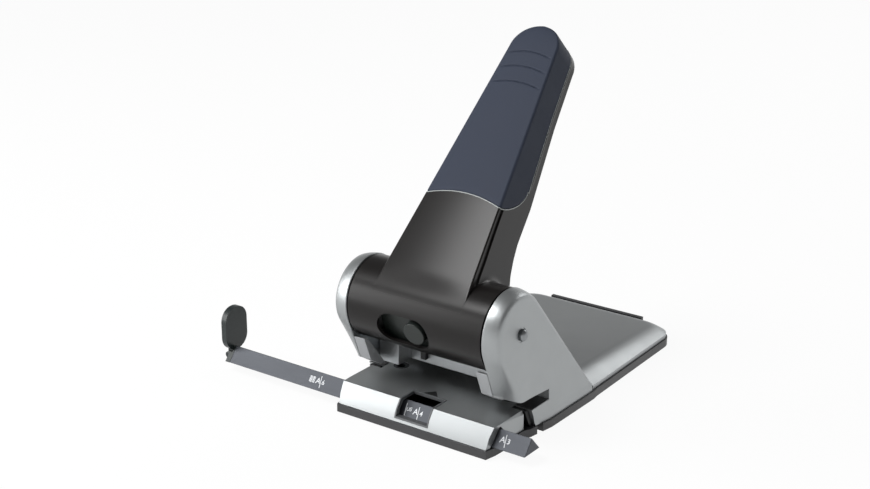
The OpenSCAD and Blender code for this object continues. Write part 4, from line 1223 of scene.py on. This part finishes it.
@dataclass
class Cheek:
    """The two cheeks: domed castings with a slanted arm over the throat and a rounded crease.

    A cheek is followed from its inner face out in rings of (Y, Z) points. Their shape runs in
    straight lines along the band that meets the crease, then round the crease on to the face.
    """

    inner_x: float = 48.1
    outer_x: float = 60.0
    axle: Tuple[float, float] = (-17.8, 69.2)
    # dome radius, arm's upper and lower end and back foot, at the inner face, where the band would
    # meet the outer face, and on the outer face past the crease
    dome_r: Triple = (25.5, 22.7, 19.4)
    upper: Tuple[Tuple[float, float], ...] = ((-30.3, 32.9), (-18.5, 30.3), (-16.2, 31.8))
    lower_y: Triple = (-30.4, -16.3, -13.2)
    foot: Tuple[Tuple[float, float], ...] = ((63.0, 11.0), (61.4, 10.0), (59.6, 9.6))
    # share of the band at which the crease starts, inner edge's rounding, lean of the face
    crease_from: float = 0.75
    inner_edge: float = 0.9
    face_lean: float = 0.02
    # throat: depth at its back, floor, roof at its back, arm's lowest place and its middle
    stop_y: float = 12.0
    floor_z: float = 18.0
    roof_z: float = 24.6
    arm_low: Tuple[float, float] = (-4.8, 26.0)
    arm_mid: Tuple[float, float] = (-17.65, 26.55)
    arm_slope: float = 0.4708
    # the foot's front end and its lean, its lower edge, and the throat edge's rounding
    front_y: float = -7.0
    front_lean: float = 5.6
    rim_z: float = 5.85
    edge: float = 0.4
    # the pocket's wall and depth, and the seat and bore for the axle
    wall: float = 2.6
    pocket_x: float = 53.2
    seat_r: float = 4.4
    seat_depth: float = 0.5
    bore_r: float = 3.55
    # the foot's face leads to the lower frame below flare_z, in a layer this deep
    flare_z: float = 14.0
    flare_t: float = 4.0
    # half widths of the lower frame along the foot
    rim_half: Tuple[Tuple[float, float], ...] = ((-7.0, 58.3), (12.0, 61.2), (60.0, 61.8))

    def along(self, stops: Sequence[Any], b: float, t: float) -> np.ndarray:
        """Return a size at share b along the band, or at share t round the crease.

        Args:
            stops: The size at the inner face, at the corner and on the outer face.
            b: Share along the band.
            t: Share round the crease.

        Returns:
            The size there.
        """
        inner, corner, face = (np.asarray(v, float) for v in stops)

        def band(share: float) -> np.ndarray:
            """Return the size on the band, which bends a little."""
            return inner + (corner - inner) * share * (0.56 + 0.44 * share)

        return (1 - t) ** 2 * band(b) + 2 * t * (1 - t) * corner + t ** 2 * face

    def tangent_angle(self, r: float, point: np.ndarray, side: int) -> float:
        """Return where the tangent from a point touches the dome, as an angle round the axle."""
        away = point - np.asarray(self.axle)
        return math.atan2(away[1], away[0]) + side * math.acos(r / math.hypot(*away))

    def dome(self, r: float, upper: np.ndarray, foot: np.ndarray, count: int) -> np.ndarray:
        """Work out the dome's arc, from the tangent through the arm's end to the foot's.

        Args:
            r: Radius of the dome.
            upper: The arm's upper end.
            foot: The back foot.
            count: Points on the arc.

        Returns:
            The arc's (Y, Z) points, from the arm's side over the top to the back.
        """
        start = self.tangent_angle(r, upper, -1) % (2 * np.pi)
        turn = np.linspace(start, self.tangent_angle(r, foot, 1), count)
        return np.asarray(self.axle) + r * unit_at(turn)

    def outline(self, b: float, t: float, off: float, more: float = 0.0) -> np.ndarray:
        """Work out one ring of (Y, Z) points.

        Args:
            b: Share along the band.
            t: Share round the crease.
            off: Rounding of the throat's edge, in millimetres.
            more: Extra inset of the face.

        Returns:
            Points over the dome, down the back, along the foot and round the throat to the arm.
        """
        # the inset is as wide along the slanted edges as round the dome
        r = float(self.along(self.dome_r, b, t)) - more
        upper = self.along(self.upper, b, t) + more * np.array([0.85, 0.5])
        low_y = float(self.along(self.lower_y, b, t)) + more
        foot = self.along(self.foot, b, t) - np.array([1.3 * more, 0.0])
        dome = self.dome(r, upper, foot, 45)
        # the arm's underside is two straight lines
        under_y = np.linspace(self.arm_low[0], low_y, 16)
        slope = (self.arm_mid[1] - self.arm_low[1]) / (self.arm_low[0] - self.arm_mid[0])
        under_z = self.arm_low[1] + slope * (self.arm_low[0] - under_y) + (
            self.arm_slope - slope) * np.maximum(self.arm_mid[0] - under_y, 0.0)
        under = np.stack([under_y, under_z + off], axis=-1)
        back, front, floor = self.stop_y + off, self.front_y + off, self.floor_z - off
        corners = [dome[-1], foot, (foot[0] - 0.3, self.rim_z),
                   (front + self.front_lean, self.rim_z), (front, floor), (back, floor),
                   (back, self.roof_z + off), tuple(under[0])]
        steps = [18, 3, 14, 6, 6, 3, 6]
        sides = [np.linspace(first, last, count + 1)[1:]
                 for first, last, count in zip(corners, corners[1:], steps)]
        end = np.linspace(under[-1], upper, 5)[1:]
        top = np.linspace(upper, dome[0], 19)[1:-1]
        return np.concatenate([dome] + sides + [under[1:], end, top])

    def solid(self, rings: Sequence[np.ndarray], places: Sequence[float]) -> bpy.types.Mesh:
        """Close a row of rings at the given X places into a solid.

        Args:
            rings: Rings of (Y, Z) points, with as many points in each.
            places: X of each ring.

        Returns:
            The mesh of the solid.
        """
        count = len(rings[0])
        points = np.concatenate([np.column_stack([np.full(count, x), ring])
                                 for x, ring in zip(places, rings)])
        mesh = mesh_through("cheek", points, ring_faces(len(rings), count))
        with reworked(mesh) as work:
            bmesh.ops.recalc_face_normals(work, faces=work.faces)
        return mesh

    def tools(self) -> List[bpy.types.Mesh]:
        """Make what is cut away: the pocket for the side frame, the axle's seat and its bore.

        Returns:
            The three cutting solids.
        """
        w = self.wall
        r = self.dome_r[0] - w
        upper = np.asarray(self.upper[0]) + np.array([2.0, 1.4]) * w
        foot = np.asarray(self.foot[0]) - np.array([1.3 * w, 0.0])
        pocket = np.concatenate([self.dome(r, upper, foot, 33),
                                 [foot, (foot[0], 0.0), (self.stop_y + w, 0.0),
                                  (self.stop_y + w, self.roof_z + w),
                                  (self.arm_low[0], self.arm_low[1] + w), upper]])
        circle = unit_at(np.linspace(0.0, 2 * np.pi, 48, endpoint=False))
        centre = np.asarray(self.axle)
        return [self.solid([pocket] * 2, [self.inner_x - 1.0, self.pocket_x]),
                self.solid([centre + self.seat_r * circle] * 2,
                           [self.outer_x - self.seat_depth, self.outer_x + 2.0]),
                self.solid([centre + self.bore_r * circle] * 2,
                           [self.inner_x + 2.0, self.outer_x + 1.0])]

    def right(self) -> bpy.types.Mesh:
        """Work out the right cheek: rings of the inner edge, band and crease, and then the cuts.

        Returns:
            The cheek's mesh, hollowed and bored.
        """
        width = self.outer_x - self.inner_x
        rings, places = [], []
        for turn in np.linspace(0.0, QUARTER, 4)[:-1]:
            rings.append(self.outline(0.0, 0.0, 0.0, self.inner_edge * (1.0 - math.sin(turn))))
            places.append(self.inner_x + self.inner_edge * (1.0 - math.cos(turn)))
        for b in np.linspace(self.inner_edge / width, self.crease_from, 8):
            rings.append(self.outline(b, 0.0, 0.0))
            places.append(self.inner_x + width * b)
        start = places[-1]
        for t in np.linspace(0.0, 1.0, 11)[1:]:
            x = self.outer_x - (self.outer_x - start) * (1 - t) ** 2
            sunk = max(x - self.outer_x + self.edge, 0.0)
            off = self.edge - math.sqrt(self.edge ** 2 - sunk ** 2)
            rings.append(self.outline(self.crease_from, t, off))
            places.append(x)
        rings.append(self.outline(self.crease_from, 1.0, 1.5 * self.edge, 0.7))
        places.append(self.outer_x)
        blank = linked("cheek_blank", self.solid(rings, places))
        for tool in self.tools():
            cut = blank.modifiers.new("cut", "BOOLEAN")
            cut.object = linked("cheek_cutter", tool)
            cut.operation, cut.solver = "DIFFERENCE", "EXACT"
        bpy.context.view_layer.update()
        mesh = bpy.data.meshes.new_from_object(
            blank.evaluated_get(bpy.context.evaluated_depsgraph_get()))
        for cut in list(blank.modifiers):
            bpy.data.objects.remove(cut.object)
        bpy.data.objects.remove(blank)
        self.flare(mesh)
        return mesh

    def flare(self, mesh: bpy.types.Mesh) -> None:
        """Lean the face in a little towards the dome, and lead its foot to the frame's edge.

        The foot's faces are parted on a grid of planes first, so that they can bend.

        Args:
            mesh: The right cheek's mesh, which is changed.
        """
        with reworked(mesh) as work:
            for axis, places in ((2, np.linspace(self.flare_z, self.rim_z + 1.0, 7)),
                                 (1, np.linspace(-3.0, 54.0, 10))):
                for place in places:
                    foot = [f for f in work.faces
                            if min(v.co.z for v in f.verts) < self.flare_z * MM]
                    normal = np.eye(3)[axis]
                    bmesh.ops.bisect_plane(
                        work, geom=foot + list({e for f in foot for e in f.edges})
                        + list({v for f in foot for v in f.verts}), dist=1e-7,
                        plane_co=tuple(normal * place * MM), plane_no=tuple(normal))
            at = np.array([v.co for v in work.verts], float) / MM
            x, y, z = at.T
            out = np.clip((x - self.pocket_x) / (self.outer_x - self.pocket_x), 0.0, 1.0)
            move = -self.face_lean * np.maximum(z - self.floor_z, 0.0) * out
            rim = np.interp(y, *zip(*self.rim_half))
            down = smoothstep((self.flare_z - z) / (self.flare_z - self.rim_z))
            layer = np.maximum(x - self.outer_x + self.flare_t, 0.0) / self.flare_t
            move += (rim - self.outer_x) * down * layer
            for vert, step in zip(work.verts, move):
                vert.co.x += step * MM

    def painted_shade_sheet(self, shop: Shop, side: int) -> None:
        """Lay a thin black sheet on the throat's floor: painted shade, standing for the shadow in
        the throat.

        Args:
            shop: Where the pieces are made and dressed.
            side: 1 for the right cheek and -1 for the left one.
        """
        xs = np.array([self.inner_x + 0.4, self.outer_x - 0.6]) * side
        ys, zs = (self.front_y + 0.4, self.stop_y - 0.1), (self.floor_z, self.floor_z + 0.25)
        points = np.array([[x, y, z] for z in zs for y in ys for x in xs])
        quads = np.array([[0, 1, 3, 2], [4, 6, 7, 5], [0, 4, 5, 1], [1, 5, 7, 3], [3, 7, 6, 2],
                          [2, 6, 4, 0]])
        # the black sheet is painted shade: the throat's floor lies in shadow
        shop.piece(f"throat_painted_shade_{'left' if side < 0 else 'right'}", points, quads, Body.BASE,
                   Coat.BLACK_TRIM, "black_trim")

    def build(self, shop: Shop) -> None:
        """Build both cheeks and the black sheets of painted shade on their throats' floors.

        Args:
            shop: Where the pieces are made and dressed.
        """
        right = self.right()
        left = right.copy()
        with reworked(left) as work:
            for vert in work.verts:
                vert.co.x = -vert.co.x
            bmesh.ops.reverse_faces(work, faces=work.faces)
        for name, mesh, side in (("left", left, -1), ("right", right, 1)):
            shop.dress(f"cheek_{name}_casting", mesh, Body.BASE, Coat.SILVER,
                       (f"cheek_{name}",), 32.0)
            self.painted_shade_sheet(shop, side)


@dataclass
class Housing:
    """The lower frame, the platform, the cheeks and what shows between them."""

    roundings: Tuple[Tuple[str, float], ...] = (
        ("bottom_frame", 0.5), ("front_platform", 0.6), ("window_frame", 0.15),
        ("groove_strip_left", 0.3), ("groove_strip_right", 0.3), ("paper_stop", 0.3),
        ("punch_guide_left", 0.5), ("punch_guide_right", 0.5), ("bridge_plate", 0.3),
        ("lock_catch", 0.3), ("chip_tray", 0.4), ("axle", 0.25))

    def build(self, shop: Shop) -> None:
        """Soften the housing's pieces.

        Args:
            shop: Where the pieces are made and dressed.
        """
        for node, width in self.roundings:
            shop.softened(node, width)
        # the arm ribs get the lit copy of the lacquer: painted light under the arm, where shade
        # falls
        for node in ("arm_rib_left", "arm_rib_right"):
            shop.softened(node, 0.4, Coat.SILVER_LIT_INSIDE)
        for node in ("die_left", "die_right"):
            shop.softened(node, 0.2, Coat.BLACKENED_STEEL)
        Cheek().build(shop)


# ---------------------------------------------------------------------------------------------
# Studio


@dataclass
class Studio:
    """The plain floor, the lamps and the camera."""

    eye: Triple = (0.5037, -0.7184, 0.4229)
    turn_deg: Triple = (70.13, 0.0, 35.8)
    lens: float = 65.89
    floor_half: float = 6.0
    floor_glow: float = 0.93
    floor_drop: float = 0.0002
    # place, aim, width and height in metres, watts
    lamps: Tuple[Tuple[Triple, Triple, float, float, float], ...] = (
        ((-1.25, -0.95, 0.5), (0.0, 0.0, 0.06), 0.9, 1.0, 18.0),
        ((0.25, 1.35, 0.85), (0.0, 0.1, 0.02), 0.9, 0.4, 4.0),
        ((-0.40, -0.60, 1.2), (0.0, 0.0, 0.1), 0.55, 0.5, 12.0))

    def rays_of(self, tree: bpy.types.NodeTree, *kinds: str) -> bpy.types.NodeSocket:
        """Return a socket that is 1 for rays of any of the kinds, and 0 for the others.

        Args:
            tree: The tree that gets the nodes.
            kinds: Names of the outputs of Light Path.

        Returns:
            The socket.
        """
        rays = add_node(tree, "ShaderNodeLightPath")
        share = rays.outputs[kinds[0]]
        for kind in kinds[1:]:
            share = add_node(tree, "ShaderNodeMath", {"operation": "MAXIMUM"},
                             {0: share, 1: rays.outputs[kind]}).outputs[0]
        return share

    def world(self) -> None:
        """Light everything with a plain pale sky, white to the eye and in low reflections.

        The light on the object is a quarter of full strength. What the eye and gloss see runs from
        white near the floor to a fifth of it higher up, so that gloss black stays dark on top.
        """
        world = bpy.data.worlds.new("studio")
        bpy.context.scene.world = world
        tree = cleared_tree(world)
        place = add_node(tree, "ShaderNodeTexCoord")
        split = add_node(tree, "ShaderNodeSeparateXYZ", None,
                         {"Vector": place.outputs["Generated"]})
        high = add_node(tree, "ShaderNodeMapRange", {
            "From Min": 0.10, "From Max": 0.42, "To Min": 1.0, "To Max": 0.2},
            {"Value": split.outputs["Z"]})
        seen = self.rays_of(tree, "Is Camera Ray", "Is Glossy Ray", "Is Transmission Ray")
        plain = add_node(tree, "ShaderNodeBackground", {"Color": (1, 1, 1, 1), "Strength": 0.25})
        shown = add_node(tree, "ShaderNodeBackground", {"Color": (1, 1, 1, 1)},
                         {"Strength": high.outputs["Result"]})
        mixed = add_node(tree, "ShaderNodeMixShader", None,
                         {0: seen, 1: plain.outputs[0], 2: shown.outputs[0]})
        add_node(tree, "ShaderNodeOutputWorld", None, {"Surface": mixed.outputs[0]})

    def floor(self) -> None:
        """Lay the pale floor, which shows near white and keeps the object's shadow."""
        mesh = bpy.data.meshes.new("floor")
        h = self.floor_half
        mesh.from_pydata([(-h, -h, 0), (h, -h, 0), (h, h, 0), (-h, h, 0)], [], [(0, 1, 2, 3)])
        material = bpy.data.materials.new("floor_pale_paper")
        tree = cleared_tree(material)
        part = add_node(tree, "ShaderNodeMath", {"operation": "MULTIPLY", 1: self.floor_glow},
                        {0: self.rays_of(tree, "Is Camera Ray", "Is Glossy Ray")})
        paper = add_node(tree, "ShaderNodeBsdfDiffuse", {"Color": linear("#f4f4f4")})
        glow = add_node(tree, "ShaderNodeEmission", {"Color": (1, 1, 1, 1), "Strength": 1.0})
        mixed = add_node(tree, "ShaderNodeMixShader", None,
                         {0: part.outputs[0], 1: paper.outputs[0], 2: glow.outputs[0]})
        add_node(tree, "ShaderNodeOutputMaterial", None, {"Surface": mixed.outputs[0]})
        mesh.materials.append(material)
        floor = linked("floor", mesh)
        floor.location.z = -self.floor_drop

    def light(self) -> None:
        """Hang the soft lamps, each turned to its aim."""
        for i, (place, aim, width, height, watts) in enumerate(self.lamps):
            lamp = bpy.data.lights.new(f"softbox_{i}", "AREA")
            lamp.shape = "RECTANGLE"
            lamp.size, lamp.size_y, lamp.energy = width, height, watts
            holder = linked(f"softbox_{i}", lamp)
            holder.location = place
            way = Vector(aim) - Vector(place)
            holder.rotation_euler = way.to_track_quat("-Z", "Y").to_euler()

    def camera(self) -> None:
        """Set the camera at the photograph's place."""
        lens = bpy.data.cameras.new("camera")
        lens.sensor_width, lens.lens = 36.0, self.lens
        lens.clip_start, lens.clip_end = 0.01, 50.0
        holder = linked("camera", lens)
        holder.location = self.eye
        holder.rotation_euler = tuple(math.radians(a) for a in self.turn_deg)
        bpy.context.scene.camera = holder

    def build(self) -> None:
        """Set up the studio."""
        bpy.context.scene.view_settings.view_transform = "Standard"
        self.camera()
        self.world()
        self.floor()
        self.light()


def main() -> None:
    """Load the frame, set up the studio and build the pieces in order."""
    logging.basicConfig(level=logging.INFO, format="%(message)s")
    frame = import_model()
    shop = Shop(frame)
    Studio().build()
    shop.finish_nodes()
    Housing().build(shop)
    RearCover().build(shop)
    Lever().build(shop)
    Springs().build(shop)
    GuideBar().build(shop)


if __name__ == "__main__":
    main()
